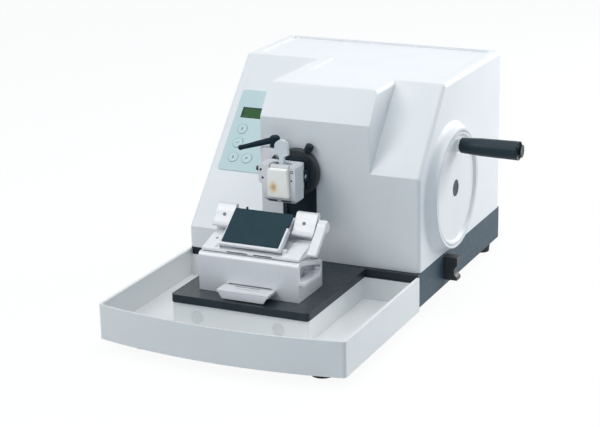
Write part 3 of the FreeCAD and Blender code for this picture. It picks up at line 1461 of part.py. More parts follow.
def jaw_lever():
    """White paddle lever that lifts the clamp's upper jaw: an eye, a neck and a rounded blade."""
    body = new_body("jaw_lever")
    bosses(body, "YZ", [("-paddle_pivot_y", "paddle_pivot_z")], "paddle_eye_radius",
           "-head_x - paddle_neck_half - paddle_shift", "-head_x + paddle_neck_half + paddle_shift")
    middle = "-head_x - paddle_shift"
    neck = rectangle(f"{middle} - paddle_neck_half", f"{middle} + paddle_neck_half",
                     "paddle_pivot_z", "paddle_low + paddle_half_width / 2")
    pad(body, "XZ", neck, "-paddle_front", "-paddle_front + paddle_thickness")
    left, right = f"{middle} - paddle_half_width", f"{middle} + paddle_half_width"
    blade = [(left, "paddle_low + paddle_half_width / 2"), (f"{middle} - paddle_neck_half", "paddle_low"),
             (f"{middle} + paddle_neck_half", "paddle_low"), (right, "paddle_low + paddle_half_width / 4"),
             (right, "paddle_top - paddle_half_width", "paddle_half_width"),
             (left, "paddle_top - paddle_half_width")]
    pad(body, "XZ", blade, "-paddle_front", "-paddle_front + paddle_thickness")
    bosses(body, "YZ", [("-paddle_pivot_y", "paddle_pivot_z")], "paddle_pivot_radius",
           "-head_x - mouth_half_width - paddle_pin_seat", "-head_x + mouth_half_width + paddle_pin_seat")
    seat(body)


def upper_jaw():
    """Steel lip on the lever that presses on the cassette's upper edge."""
    body = new_body("upper_jaw")
    jaw_low = "head_z + cassette_half_height"
    pad(body, "XZ", rectangle("-head_x - jaw_half_width", "-head_x + jaw_half_width",
                              jaw_low, f"{jaw_low} + jaw_height"),
        "-clamp_front + jaw_setback", "-paddle_pivot_y - paddle_eye_radius")
    seat(body)


def knife_base():
    """Holder base: rounded front, T groove below, concave seat between sloped cheeks, lever pocket."""
    body = new_body("knife_base")
    low = "deck_top + knife_rise_gap"
    side = rectangle("-knife_front", "-knife_rear", low, "knife_top_z")
    block = pad(body, "YZ", side, "-knife_left", "knife_right")
    nose = edges_at(block, "x", y="-knife_front", z="knife_top_z")
    soften(body, block, nose, "knife_nose_radius")
    groove = [("-rail_x - rail_neck_half - groove_clearance", f"{low} - overrun"),
              ("-rail_x + rail_neck_half + groove_clearance", f"{low} - overrun"),
              ("-rail_x + rail_neck_half + groove_clearance",
               "deck_top + rail_neck_height - groove_clearance"),
              ("-rail_x + rail_head_half + groove_clearance",
               "deck_top + rail_neck_height - groove_clearance"),
              ("-rail_x + rail_head_half + groove_clearance", "rail_top + groove_clearance"),
              ("-rail_x - rail_head_half - groove_clearance", "rail_top + groove_clearance"),
              ("-rail_x - rail_head_half - groove_clearance",
               "deck_top + rail_neck_height - groove_clearance"),
              ("-rail_x - rail_neck_half - groove_clearance",
               "deck_top + rail_neck_height - groove_clearance")]
    pocket(body, "XZ", groove, "-knife_front - overrun", "-knife_rear + overrun")
    sketch = sketch_on(body, "YZ", out="cheek_left - knife_left")
    circles(sketch, [("-edge_y", "edge_z")], "seat_radius + seat_clearance")
    before = volume_of(body)
    seat_cut = body.newObject("PartDesign::Pocket", "arc_seat")
    seat_cut.Profile = sketch
    seat_cut.Reversed = True
    seat_cut.setExpression("Length", bound("knife_left + knife_right - cheek_left - cheek_right"))
    if volume_of(body) >= before:
        raise RuntimeError("knife_base: the arc seat cut nothing")
    slope = [("-cheek_slope_start", "knife_top_z"),
             ("-knife_rear + overrun", "knife_top_z - cheek_drop - overrun * cheek_fall"),
             ("-knife_rear + overrun", "knife_top_z + overrun"),
             ("-cheek_slope_start", "knife_top_z + overrun")]
    pocket(body, "YZ", slope, "-knife_left - overrun", "cheek_left - knife_left")
    pocket(body, "YZ", slope, "knife_right - cheek_right", "knife_right + overrun")
    recess = [("-knife_front + pocket_front", "deck_top + pocket_low"),
              ("-knife_rear - pocket_rear", "deck_top + pocket_low"),
              ("-knife_rear - pocket_rear",
               "knife_top_z - pocket_roof - cheek_drop + pocket_rear * cheek_fall"),
              ("-cheek_slope_start", "knife_top_z - pocket_roof"),
              ("-knife_front + pocket_front", "knife_top_z - pocket_roof")]
    pocket(body, "YZ", recess, "knife_right - pocket_depth", "knife_right + overrun")
    bores(body, "YZ", [("-side_pin_y", "side_pin_z")], "side_lever_pin_radius + running_clearance",
          "knife_right - pocket_depth - side_lever_pin_depth - cover_gap", "knife_right")
    bores(body, "YZ", [("-front_pin_y", "front_pin_z")], "front_lever_pin_radius + running_clearance",
          "-front_lever_left - front_lever_pin_radius", "front_lever_right + front_lever_pin_radius")
    relief = rectangle("-knife_front - overrun", "-front_pin_y + front_eye_radius + cover_gap",
                       "rail_top + groove_clearance", "front_pin_z + front_eye_room")
    pocket(body, "YZ", relief, "-front_lever_left + front_web_inset - cover_gap",
           "front_lever_right - front_web_inset + cover_gap")
    seat(body)


def side_lever():
    """Flat clamp lever in the base's right pocket, on a pin, with an upturned rear end."""
    body = new_body("side_lever")
    low, high = "side_pin_z - side_lever_thickness / 2", "side_pin_z + side_lever_thickness / 2"
    bar = [("-side_lever_front", low), ("-side_lever_rear", low),
           ("-side_lever_rear + side_lever_hook", f"{high} + side_lever_hook"),
           ("-side_lever_rear + side_lever_hook - side_lever_thickness", f"{high} + side_lever_hook"),
           ("-side_lever_rear - side_lever_thickness / 2", high), ("-side_lever_front", high)]
    pad(body, "YZ", bar, "knife_right + cover_gap", "knife_right + side_lever_out")
    strip = rectangle("-knife_front + pocket_front + overrun", "-side_pin_y", low, high)
    pad(body, "YZ", strip, "knife_right - side_lever_in", "knife_right + cover_gap + overrun")
    bosses(body, "YZ", [("-side_pin_y", "side_pin_z")], "side_lever_pin_radius",
           "knife_right - pocket_depth - side_lever_pin_depth", "knife_right + side_lever_out")
    seat(body)


def front_lever():
    """Folded lip at the holder's foot: a slitted shelf and a flared apron on two pins."""
    body = new_body("front_lever")
    top, low = "deck_top + front_lever_top", "deck_top + front_lever_lift"
    front = "-knife_front - front_lever_reach"
    shelf = rectangle(front, "-knife_front - front_shelf_gap", f"{top} - front_lever_thickness", top)
    pad(body, "YZ", shelf, "-front_lever_left", "front_lever_right")
    apron = [("-front_lever_left", top), ("-front_lever_left + front_lever_taper", low),
             ("front_lever_right - front_lever_taper", low), ("front_lever_right", top)]
    pad(body, "XZ", apron, front, f"{front} + front_lever_thickness")
    slit = rectangle("-front_lever_slot_half", "front_lever_slot_half",
                     f"{front} + front_lever_reach / 2",
                     f"{front} + front_lever_reach / 2 + front_lever_slot_width")
    pocket(body, "XY", slit, f"{top} - front_lever_thickness - overrun", f"{top} + overrun")
    inner_left, inner_right = "-front_lever_left + front_web_inset", "front_lever_right - front_web_inset"
    web = rectangle("-knife_front - overrun", "-front_pin_y", f"{top} - front_lever_thickness", top)
    pad(body, "YZ", web, inner_left, inner_right)
    bosses(body, "YZ", [("-front_pin_y", "front_pin_z")], "front_eye_radius", inner_left, inner_right)
    bosses(body, "YZ", [("-front_pin_y", "front_pin_z")], "front_lever_pin_radius",
           "-front_lever_left", "front_lever_right")
    seat(body)


def tilt_segment():
    """Segment that turns in the base's concave seat about the knife edge."""
    body = new_body("tilt_segment")
    rise = "segment_top_z"
    half_front = "segment_front - edge_y"
    half_rear = "edge_y - segment_rear"
    drop_front = "edge_z - sqrt(seat_radius ^ 2 - (segment_front - edge_y) ^ 2)"
    drop_rear = "edge_z - sqrt(seat_radius ^ 2 - (edge_y - segment_rear) ^ 2)"
    chord = f"sqrt((segment_front - segment_rear) ^ 2 + (({drop_front}) - ({drop_rear})) ^ 2)"
    bow = f"seat_radius - sqrt(seat_radius ^ 2 - ({chord}) ^ 2 / 4)"
    pad(body, "YZ", [("-segment_front", drop_front, bow), ("-segment_rear", drop_rear),
                     ("-segment_rear", rise), ("-segment_front", rise)],
        "cheek_left - knife_left + seat_clearance", "knife_right - cheek_right - seat_clearance")
    key = rectangle("-key_y - key_half - seat_clearance", "-key_y + key_half + seat_clearance",
                    f"{rise} - key_depth - seat_clearance", f"{rise} + overrun")
    pocket(body, "YZ", key, "-knife_left", "knife_right")
    seat(body)


def cross_slide():
    """Slide on the segment: a low sill with hinge ears, a block behind it and sloped shoulders."""
    body = new_body("cross_slide")
    bed = [("-cross_front", "cross_bottom"), ("-cross_rear", "cross_bottom"), ("-cross_rear", "cross_top"),
           ("-cross_step_top", "cross_top"), ("-cross_step_foot", "cross_sill"),
           ("-cross_front", "cross_sill")]
    pad(body, "YZ", bed, "-cross_left", "cross_right")
    key = rectangle("-key_y - key_half", "-key_y + key_half",
                    "segment_top_z - key_depth", "cross_bottom + overrun")
    pad(body, "YZ", key, "-knife_left + cheek_left + cross_travel", "knife_right - cheek_right - cross_travel")
    hinge_y, hinge_z = bed_point("-hinge_setback", "plate_lift - carrier_thickness - hinge_radius")
    ear = [(f"{hinge_y} - hinge_eye", "cross_sill - overrun"),
           (f"{hinge_y} + hinge_eye", "cross_sill - overrun"),
           (f"{hinge_y} + hinge_eye", hinge_z, "hinge_eye"), (f"{hinge_y} - hinge_eye", hinge_z)]
    left_ear = "-plate_left - carrier_margin - cover_gap - hinge_ear"
    right_ear = "plate_right + carrier_margin + cover_gap"
    for low, high in ((left_ear, f"{left_ear} + hinge_ear"), (right_ear, f"{right_ear} + hinge_ear")):
        pad(body, "YZ", ear, low, high)
        bores(body, "YZ", [(hinge_y, hinge_z)], "hinge_radius + running_clearance",
              f"{low} - overrun", f"{high} + overrun")
    shoulder = [("-cross_front", "cross_bottom"), ("-shoulder_rear", "cross_bottom"),
                ("-shoulder_rear", "cross_bottom + shoulder_rise"), ("-cross_front", "cross_sill")]
    pad(body, "YZ", shoulder, "-cross_left", left_ear)
    pad(body, "YZ", shoulder, f"{right_ear} + hinge_ear", "cross_right")
    seat(body)


def back_plate():
    """Blade back plate: a leaning wall with a bevelled crest and a lipped wing at each end."""
    body = new_body("back_plate")
    wall = [("-back_foot_front", "cross_top"), ("-back_foot_rear", "cross_top"),
            bed_point("-press_edge_setback", "-blade_thickness / 2"),
            bed_point("-blade_width", "-blade_thickness / 2")]
    pad(body, "YZ", wall, "-back_left", "back_right")
    wing = [("-wing_lip_front", "wing_low"), ("-wing_top_rear", "wing_low"), ("-wing_top_rear", "back_top"),
            ("-wing_top_front", "back_top"), ("-wing_front", "wing_low + wing_lip_rise"),
            ("-wing_lip_front", "wing_low + wing_lip_edge")]
    pad(body, "YZ", wing, "-back_left", "-wing_inner_left")
    pad(body, "YZ", wing, "wing_inner_right", "back_right")
    bores(body, "YZ", [("-blade_pivot_y", "blade_pivot_z")], "blade_shaft_radius + running_clearance",
          "-blade_shaft_reach - overrun", "back_right + overrun")
    seat(body)


def bed_point(along, above):
    """Machine (y, z) of a point given along the blade bed, from the edge, and above it."""
    return (f"-edge_y + ({along}) * cos(bed_tilt) - ({above}) * sin(bed_tilt)",
            f"edge_z + ({along}) * sin(bed_tilt) + ({above}) * cos(bed_tilt)")


def on_bed(body):
    """Seat a piece drawn flat on the tilted blade bed, whose origin is the middle of the edge."""
    seat(body, y="-edge_y", z="edge_z", tilt="bed_tilt")


def blade():
    """Disposable blade lying on the back plate's bevel, its edge at the tilt centre."""
    body = new_body("blade")
    profile = [("-blade_width", "-blade_thickness / 2"), ("-blade_thickness", "-blade_thickness / 2"),
               ("0", "0"), ("-blade_thickness", "blade_thickness / 2"),
               ("-blade_width", "blade_thickness / 2")]
    pad(body, "YZ", profile, "-blade_x - blade_length / 2", "-blade_x + blade_length / 2")
    on_bed(body)


def pressure_plate():
    """Clamping plate over the blade, thinned to its front edge."""
    body = new_body("pressure_plate")
    low = "blade_thickness / 2"
    profile = [("-press_depth", low), ("-press_edge_setback", low),
               ("-press_edge_setback", f"{low} + blade_thickness"),
               ("-press_depth / 2", f"{low} + press_thickness"), ("-press_depth", f"{low} + press_thickness")]
    pad(body, "YZ", profile, "-press_left", "press_right")
    on_bed(body)


def deflector_carrier():
    """Hinged carrier of the section plate: a base plate, a front lip and a raised right lip."""
    body = new_body("deflector_carrier")
    low = "plate_lift - carrier_thickness"
    front = "-plate_length - carrier_front_margin"
    left, right = "-plate_left - carrier_margin", "plate_right + carrier_margin"
    plate = rectangle(left, right, front, f"{front} + carrier_length")
    pad(body, "XY", plate, low, "plate_lift")
    lip = rectangle(left, right, front, "-plate_length - plate_gap")
    pad(body, "XY", lip, "plate_lift - overrun / 2", "plate_lift + carrier_lip")
    side = rectangle("plate_right + plate_gap", right, front, f"{front} + carrier_length")
    pad(body, "XY", side, "plate_lift - overrun / 2", "plate_lift + carrier_side_lip")
    bosses(body, "YZ", [("-hinge_setback", "plate_lift - carrier_thickness - hinge_radius")], "hinge_radius",
           f"{left} - hinge_ear", f"{right} + hinge_ear")
    on_bed(body)


def deflector_plate():
    """Dark section plate lying in the carrier."""
    body = new_body("deflector_plate")
    plate = pad(body, "XY", rectangle("-plate_left", "plate_right", "-plate_length", "-press_edge_setback"),
                "plate_lift", "plate_lift + plate_thickness")
    corners = edges_at(plate, "z", x=("-plate_left", "plate_right"))
    soften(body, plate, corners, "press_edge_setback")
    on_bed(body)


def blade_lever():
    """Blade clamp lever on the right: a long flat handle on the shaft through the back plate."""
    body = new_body("blade_lever")
    handle = rectangle("-blade_lever_length", "blade_lever_eye", "0", "blade_lever_thickness")
    block = pad(body, "YZ", handle, "blade_lever_x", "blade_lever_x + blade_lever_width")
    ends = edges_at(block, "x", y=("-blade_lever_length",))
    soften(body, block, ends, "blade_lever_thickness / 3")
    bosses(body, "YZ", [("0", "0")], "blade_lever_eye", "blade_lever_x", "blade_lever_x + blade_lever_width")
    bosses(body, "YZ", [("0", "0")], "blade_shaft_radius", "-blade_shaft_reach", "blade_lever_x + overrun")
    seat(body, y="-blade_pivot_y", z="blade_pivot_z", tilt="bed_tilt + blade_lever_lean")


def wheel_lock():
    """Handwheel lock lever on the base's right side, with a thumb notch and its shaft."""
    body = new_body("wheel_lock")
    near, far = "half_width + lock_gap", "half_width + lock_reach"
    arm = rectangle(near, far, "lock_z - lock_low", "lock_z + lock_high")
    block = pad(body, "XZ", arm, "lock_y - lock_half_width", "lock_y + lock_half_width")
    bores(body, "XZ", [(f"{far} + lock_notch_radius / 2", "lock_z - lock_notch_radius / 2")],
          "lock_notch_radius",
          "lock_y - lock_half_width - overrun", "lock_y + lock_half_width + overrun")
    bosses(body, "YZ", [("lock_y", "lock_z")], "lock_shaft_radius", "half_width - lock_shaft_tail",
           f"{near} + overrun")
    seat(body)


def mains_inlet():
    """Appliance inlet and switch module in the rear wall: flange, body, inlet mouth and blades."""
    body = new_body("mains_inlet")
    pad(body, "XZ", rectangle("inlet_body_left", "inlet_body_right", "inlet_z - inlet_body_half",
                              "inlet_z + inlet_body_half"), "housing_depth - inlet_depth",
                              "housing_depth + overrun")
    pad(body, "XZ", rectangle("inlet_body_left - inlet_flange", "inlet_body_right + inlet_flange",
                              "inlet_z - inlet_body_half - inlet_flange",
                              "inlet_z + inlet_body_half + inlet_flange"),
        "housing_depth", "inlet_face")
    mouth_floor = "inlet_face - inlet_mouth_depth"
    pocket(body, "XZ", rectangle("-inlet_x - inlet_mouth_half_width", "-inlet_x + inlet_mouth_half_width",
                                 "inlet_z - inlet_mouth_half_height", "inlet_z + inlet_mouth_half_height"),
           mouth_floor, "inlet_face + overrun")
    for x, z in (("-inlet_x - inlet_pin_pitch", "inlet_z"), ("-inlet_x + inlet_pin_pitch", "inlet_z"),
                 ("-inlet_x", "inlet_z + inlet_pin_half_height * 2")):
        pin = rectangle(f"{x} - inlet_pin_half", f"{x} + inlet_pin_half",
                        f"{z} - inlet_pin_half_height", f"{z} + inlet_pin_half_height")
        pad(body, "XZ", pin, f"{mouth_floor} - overrun", f"{mouth_floor} + inlet_pin_length")
    pocket(body, "XZ", rectangle("-switch_x - switch_half_width", "-switch_x + switch_half_width",
                                 "inlet_z - switch_half_height", "inlet_z + switch_half_height"),
           "inlet_face - switch_depth", "inlet_face + overrun")
    for low, high in (("-switch_x - switch_half_width - overrun", "-switch_x - switch_half_width + overrun"),
                      ("-switch_x + switch_half_width - overrun", "-switch_x + switch_half_width + overrun")):
        bores(body, "YZ", [("switch_pivot_y", "inlet_z")], "switch_pin_radius + running_clearance", low, high)
    seat(body)


def power_switch():
    """Rocker of the mains switch, drawn with its lower half pressed in, on two short pins."""
    body = new_body("power_switch")
    top, low = "switch_half_height - switch_gap * 2", "-switch_half_height + switch_gap * 2"
    rocker = [("-rocker_depth / 2", low), ("rocker_depth / 2", low),
              ("rocker_depth / 2 + rocker_rise / 4", "0"),
              ("rocker_depth / 2 + rocker_rise", top), ("-rocker_depth / 2", top)]
    pad(body, "YZ", rocker, "-switch_half_width + switch_gap", "switch_half_width - switch_gap")
    bosses(body, "YZ", [("0", "0")], "switch_pin_radius", "-switch_half_width - overrun / 2",
           "switch_half_width + overrun / 2")
    seat(body, x="-switch_x", y="switch_pivot_y", z="inlet_z")


def power_supply():
    """Power supply can on the tub's floor."""
    body = new_body("power_supply")
    pad(body, "XY", rectangle("-supply_left", "-supply_right", "supply_front", "supply_rear"),
        "floor_top", "floor_top + supply_height")
    seat(body)


def tray_outline(side, rear, front, bow):
    """Plan of the tray's bowed box: straight sides and rear, an arc at the front."""
    return [(f"-({side})", f"-({rear})"), (f"-({side})", f"-({front})", bow),
            (side, f"-({front})"), (side, f"-({rear})")]


def waste_tray():
    """Waste tray: bowed outer wall with a skirt, a floor and a liner wall round the pedestal."""
    body = new_body("waste_tray")
    outer = tray_outline("tray_half_width", "tray_side_rear", "tray_side_front", "tray_bow")
    block = pad(body, "XY", outer, "tray_skirt", "tray_rim")
    corners = edges_at(block, "z", y="-tray_side_front")
    soften(body, block, corners, "tray_corner_radius")
    inner = tray_outline("tray_half_width - tray_wall", "-overrun",
                         "tray_side_front - tray_wall / 2", "tray_bow")
    pocket(body, "XY", inner, "tray_floor_top", "tray_rim + overrun")
    pocket(body, "XY", inner, "tray_skirt - overrun", "tray_floor_low")
    rear_wall = rectangle("-tray_half_width + tray_wall / 2", "tray_half_width - tray_wall / 2",
                          "-tray_channel_rear - tray_liner", "-tray_channel_rear")
    pad(body, "XY", rear_wall, "tray_floor_low", "liner_top")
    liner = rectangle("-liner_left", "liner_right", "-liner_front", "-tray_channel_rear")
    pad(body, "XY", liner, "tray_floor_low", "liner_top")
    tunnel = rectangle("-liner_left + tray_liner", "liner_right - tray_liner",
                       "-liner_front + tray_liner", "overrun")
    pocket(body, "XY", tunnel, "tray_skirt - overrun", "tray_rim + overrun")
    tail = rectangle("-tray_half_width + tray_wall", "tray_half_width - tray_wall",
                     "-tray_channel_rear", "overrun")
    pocket(body, "XY", tail, "tray_skirt - overrun", "tray_rim + overrun")
    bores(body, "XZ", magnet_places(), "magnet_radius + magnet_fit", "-liner_front - overrun",
          "-liner_front + tray_liner + overrun")
    seat(body)


def magnet_places():
    return [("-magnet_left_x", "magnet_z"), ("magnet_right_x", "magnet_z")]


def tray_magnets():
    """Two disc magnets in the liner's front wall that hold the tray to the pedestal."""
    body = new_body("tray_magnets")
    bosses(body, "XZ", magnet_places(), "magnet_radius", "-liner_front", "-liner_front + tray_liner")
    seat(body)


fill_sheet()
for make in (base_casting, rubber_feet, deck_plate, guide_rail, housing_cover, cover_screws,
             slot_plate, control_panel, display_window, control_board, keys, slide_frame, slide_rails,
             carriage, quill_bush, slot_shield, yoke_plate, feed_motor, quill, feed_screw,
             bearing_block, shaft_bearings, wheel_shaft, crank_disc, handwheel, hub_cap, grip_axle,
             hand_grip, head_flange, head_knob, orientation_cradle, lock_block, orientation_ring,
             orientation_block, orientation_lever, clamp_body, cassette, wax_block, jaw_lever,
             upper_jaw, knife_base, side_lever, front_lever, tilt_segment, cross_slide, back_plate,
             blade, pressure_plate, deflector_carrier, deflector_plate, blade_lever, wheel_lock,
             mains_inlet, power_switch, power_supply, waste_tray, tray_magnets):
    make()
doc.recompute()

faults = [item.Label for item in doc.Objects if "Invalid" in item.State or "Error" in item.State]
for label, item in pieces.items():
    if item.Shape.isNull() or not item.Shape.isValid() or not item.Shape.Solids:
        faults.append(label)
if faults:
    raise RuntimeError("these did not build: " + ", ".join(sorted(set(faults))))

os.makedirs("parts", exist_ok=True)
for label, item in pieces.items():
    item.Shape.exportStep(f"parts/{label}.step")
    print(f"{label}: {len(item.Shape.Solids)} solid, {item.Shape.Volume / 1000:.1f} cm3")
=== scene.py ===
import math

import bmesh
import bpy
from mathutils import Matrix, Vector


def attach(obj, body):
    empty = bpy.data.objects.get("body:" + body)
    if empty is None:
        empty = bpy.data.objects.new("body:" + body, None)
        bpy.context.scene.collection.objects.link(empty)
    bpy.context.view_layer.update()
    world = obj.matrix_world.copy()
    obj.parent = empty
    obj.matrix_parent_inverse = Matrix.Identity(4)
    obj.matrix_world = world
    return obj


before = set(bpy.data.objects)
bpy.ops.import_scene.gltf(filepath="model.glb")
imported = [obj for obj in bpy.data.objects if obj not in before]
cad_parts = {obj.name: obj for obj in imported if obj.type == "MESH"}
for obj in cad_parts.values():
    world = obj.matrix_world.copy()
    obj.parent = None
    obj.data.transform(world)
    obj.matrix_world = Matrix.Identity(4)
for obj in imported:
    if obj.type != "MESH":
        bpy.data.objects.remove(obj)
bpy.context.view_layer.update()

scene = bpy.context.scene
scene.view_settings.view_transform = "Standard"

# Sizes and places are in millimetres. The camera, the lamps and the floor are placed in metres.
MM = 0.001


# Camera
CAMERA_PLACE = Vector((0.88635, -2.0260, 0.8222))
CAMERA_AZIMUTH = math.radians(25.18)
CAMERA_ELEVATION = math.radians(17.40)
CAMERA_ROLL = math.radians(-1.05)
CAMERA_LENS = 102.108
CAMERA_SHIFT = (-0.00132, -0.00135)


def make_camera():
    """The photograph's viewpoint: a long lens from the right, above the machine."""
    flat = math.cos(CAMERA_ELEVATION)
    back = Vector((math.sin(CAMERA_AZIMUTH) * flat, -math.cos(CAMERA_AZIMUTH) * flat, math.sin(CAMERA_ELEVATION)))
    level = Vector((math.cos(CAMERA_AZIMUTH), math.sin(CAMERA_AZIMUTH), 0.0))
    upright = back.cross(level)
    right = level * math.cos(CAMERA_ROLL) + upright * math.sin(CAMERA_ROLL)
    up = upright * math.cos(CAMERA_ROLL) - level * math.sin(CAMERA_ROLL)
    data = bpy.data.cameras.new("camera")
    data.lens = CAMERA_LENS
    data.shift_x, data.shift_y = CAMERA_SHIFT
    camera = bpy.data.objects.new("camera", data)
    camera.matrix_world = Matrix.Translation(CAMERA_PLACE) @ Matrix((right, up, back)).transposed().to_4x4()
    scene.collection.objects.link(camera)
    scene.camera = camera


make_camera()


# Shader nodes
def srgb(red, green, blue):
    """A screen colour from 0 to 255 as the linear colour that a shader takes."""
    shares = [part / 255 for part in (red, green, blue)]
    linear = [s / 12.92 if s <= 0.04045 else ((s + 0.055) / 1.055) ** 2.4 for s in shares]
    return (*linear, 1.0)


def add_node(tree, kind, inputs, **settings):
    """A node of a tree. Each input is a plain value or another node's output."""
    made = tree.nodes.new(kind)
    for name, setting in settings.items():
        setattr(made, name, setting)
    for key, source in inputs.items():
        if isinstance(source, bpy.types.NodeSocket):
            tree.links.new(source, made.inputs[key])
        else:
            made.inputs[key].default_value = source
    return made


def math_node(tree, operation, *sources):
    made = add_node(tree, "ShaderNodeMath", dict(enumerate(sources)), operation=operation)
    return made.outputs["Value"]


def mix_colour(tree, share, first, second, blend="MIX"):
    made = add_node(tree, "ShaderNodeMix", {0: share, 6: first, 7: second}, data_type="RGBA", blend_type=blend)
    return made.outputs[2]


def noise(tree, vector, size_mm, detail=2.0, roughness=0.5):
    """Noise whose features are about that many millimetres across, from 0 to 1."""
    inputs = {"Vector": vector, "Scale": 1 / (size_mm * MM), "Detail": detail, "Roughness": roughness}
    return add_node(tree, "ShaderNodeTexNoise", inputs).outputs["Fac"]


def spread(tree, source, low, high, from_low=0.3, from_high=0.7):
    """The source's middle range turned into low to high."""
    inputs = {"Value": source, "From Min": from_low, "From Max": from_high, "To Min": low, "To Max": high}
    return add_node(tree, "ShaderNodeMapRange", inputs).outputs["Result"]


def new_tree(name):
    """A new material, its node tree, its shader and the place on the surface in the row frame."""
    made = bpy.data.materials.new(name)
    made.use_nodes = True
    tree = made.node_tree
    shader = tree.nodes["Principled BSDF"]
    where = tree.nodes.new("ShaderNodeTexCoord").outputs["Object"]
    return made, tree, shader, where


def stretched(tree, vector, scale):
    return add_node(tree, "ShaderNodeMapping", {"Vector": vector, "Scale": scale}).outputs["Vector"]


BEVEL_SAMPLES = 6
# How far the rounding turns a surface where an edge starts to show, and where it shows in full
EDGE_TURN_LOW = 0.04
EDGE_TURN_HIGH = 0.25


def rounded_edges(tree, radius_mm):
    """The surface direction with its edges rounded, and how much an edge turns it, from 0 to 1."""
    rounded = add_node(tree, "ShaderNodeBevel", {"Radius": radius_mm * MM}, samples=BEVEL_SAMPLES).outputs["Normal"]
    straight = tree.nodes.new("ShaderNodeNewGeometry").outputs["Normal"]
    dot = add_node(tree, "ShaderNodeVectorMath", {0: rounded, 1: straight}, operation="DOT_PRODUCT")
    turned = math_node(tree, "SUBTRACT", 1.0, dot.outputs["Value"])
    return rounded, spread(tree, turned, 0.0, 1.0, EDGE_TURN_LOW, EDGE_TURN_HIGH)


# The speck's share of the mottle, the size of scuffs and of gloss patches in grains, the scuffs' least
# share, and how much of an edge wears to the edge's colour
SPECK_SHARE = 0.5
SCUFF_GRAINS = 6
GLOSS_GRAINS = 9
SCUFF_LOW = 0.2
EDGE_SHARE = 0.35


def finish(name, colour, roughness, metallic=0.0, mottle=0.04, mottle_mm=60.0, grain_mm=0.9, grain_depth_mm=0.02,
           grain_strength=0.25, gloss_range=0.06, edge_mm=0.6, edge_colour=None, brush=None, specular=0.5):
    """A painted, moulded or machined finish.

    Mottle is a slow change of tone, grain the fine relief of the paint or the tool marks, and brush the
    stretch of the tool marks along X, Y and Z."""
    made, tree, shader, where = new_tree(name)
    slow = noise(tree, where, mottle_mm, detail=4.0)
    tone = spread(tree, slow, 1 - mottle, 1 + mottle)
    grain_place = stretched(tree, where, brush) if brush else where
    fine = noise(tree, grain_place, grain_mm, detail=3.0, roughness=0.6)
    speck = spread(tree, fine, 1 - mottle * SPECK_SHARE, 1 + mottle * SPECK_SHARE)
    shade = math_node(tree, "MULTIPLY", tone, speck)
    toned = add_node(tree, "ShaderNodeVectorMath", {0: colour[:3], "Scale": shade}, operation="SCALE").outputs[0]
    rounded, edge = rounded_edges(tree, edge_mm)
    if edge_colour:
        scuff = spread(tree, noise(tree, where, grain_mm * SCUFF_GRAINS, detail=3.0), SCUFF_LOW, 1.0)
        worn = math_node(tree, "MULTIPLY", math_node(tree, "MULTIPLY", edge, scuff), EDGE_SHARE)
        toned = mix_colour(tree, worn, toned, edge_colour)
    tree.links.new(toned, shader.inputs["Base Color"])
    gloss = spread(tree, noise(tree, grain_place, grain_mm * GLOSS_GRAINS, detail=3.0),
                   roughness - gloss_range, roughness + gloss_range)
    tree.links.new(gloss, shader.inputs["Roughness"])
    relief = {"Height": fine, "Normal": rounded, "Strength": grain_strength, "Distance": grain_depth_mm * MM}
    tree.links.new(add_node(tree, "ShaderNodeBump", relief).outputs["Normal"], shader.inputs["Normal"])
    shader.inputs["Metallic"].default_value = metallic
    shader.inputs["Specular IOR Level"].default_value = specular
    return made


# Finishes of the machine's pieces
BRUSH_X = (0.05, 1.0, 1.0)
BRUSH_Z = (1.0, 1.0, 0.05)
PALE_EDGE = srgb(246, 248, 250)
BRIGHT_EDGE = srgb(236, 238, 242)


# The wax with its painted glow, and the slice of tissue in its front face
WAX_COOL = srgb(246, 245, 241)
WAX_WARM = srgb(252, 250, 244)
# Painted glow: the wax gives off a little light of its own, in place of the light it would scatter inside itself
WAX_PAINTED_GLOW = srgb(252, 248, 240)
WAX_PAINTED_GLOW_STRENGTH = 0.12
WAX_EDGE_MM = 0.8
WAX_CLOUD_MM = 7.0
WAX_ROUGHNESS = (0.34, 0.5)
WAX_SUBSURFACE = 0.06
WAX_SCATTER = (1.0, 0.8, 0.55)
WAX_SCATTER_MM = 3.0
WAX_RELIEF_MM = 0.15
WAX_RELIEF_STRENGTH = 0.3
TISSUE_CENTRE = (-59.0, -98.5, 185.4)
TISSUE_SIZE = (8.4, 12.0, 11.0)
TISSUE_RAGGED_MM = 3.5
TISSUE_RAGGED_SHARE = 0.14
TISSUE_HALO = srgb(233, 205, 150)
TISSUE_CORE = srgb(184, 136, 66)
# Where the halo and the core fade out, from 0 at the tissue's centre to 1 at its rim
HALO_FADE = (0.25, 1.0)
CORE_FADE = (0.05, 0.55)


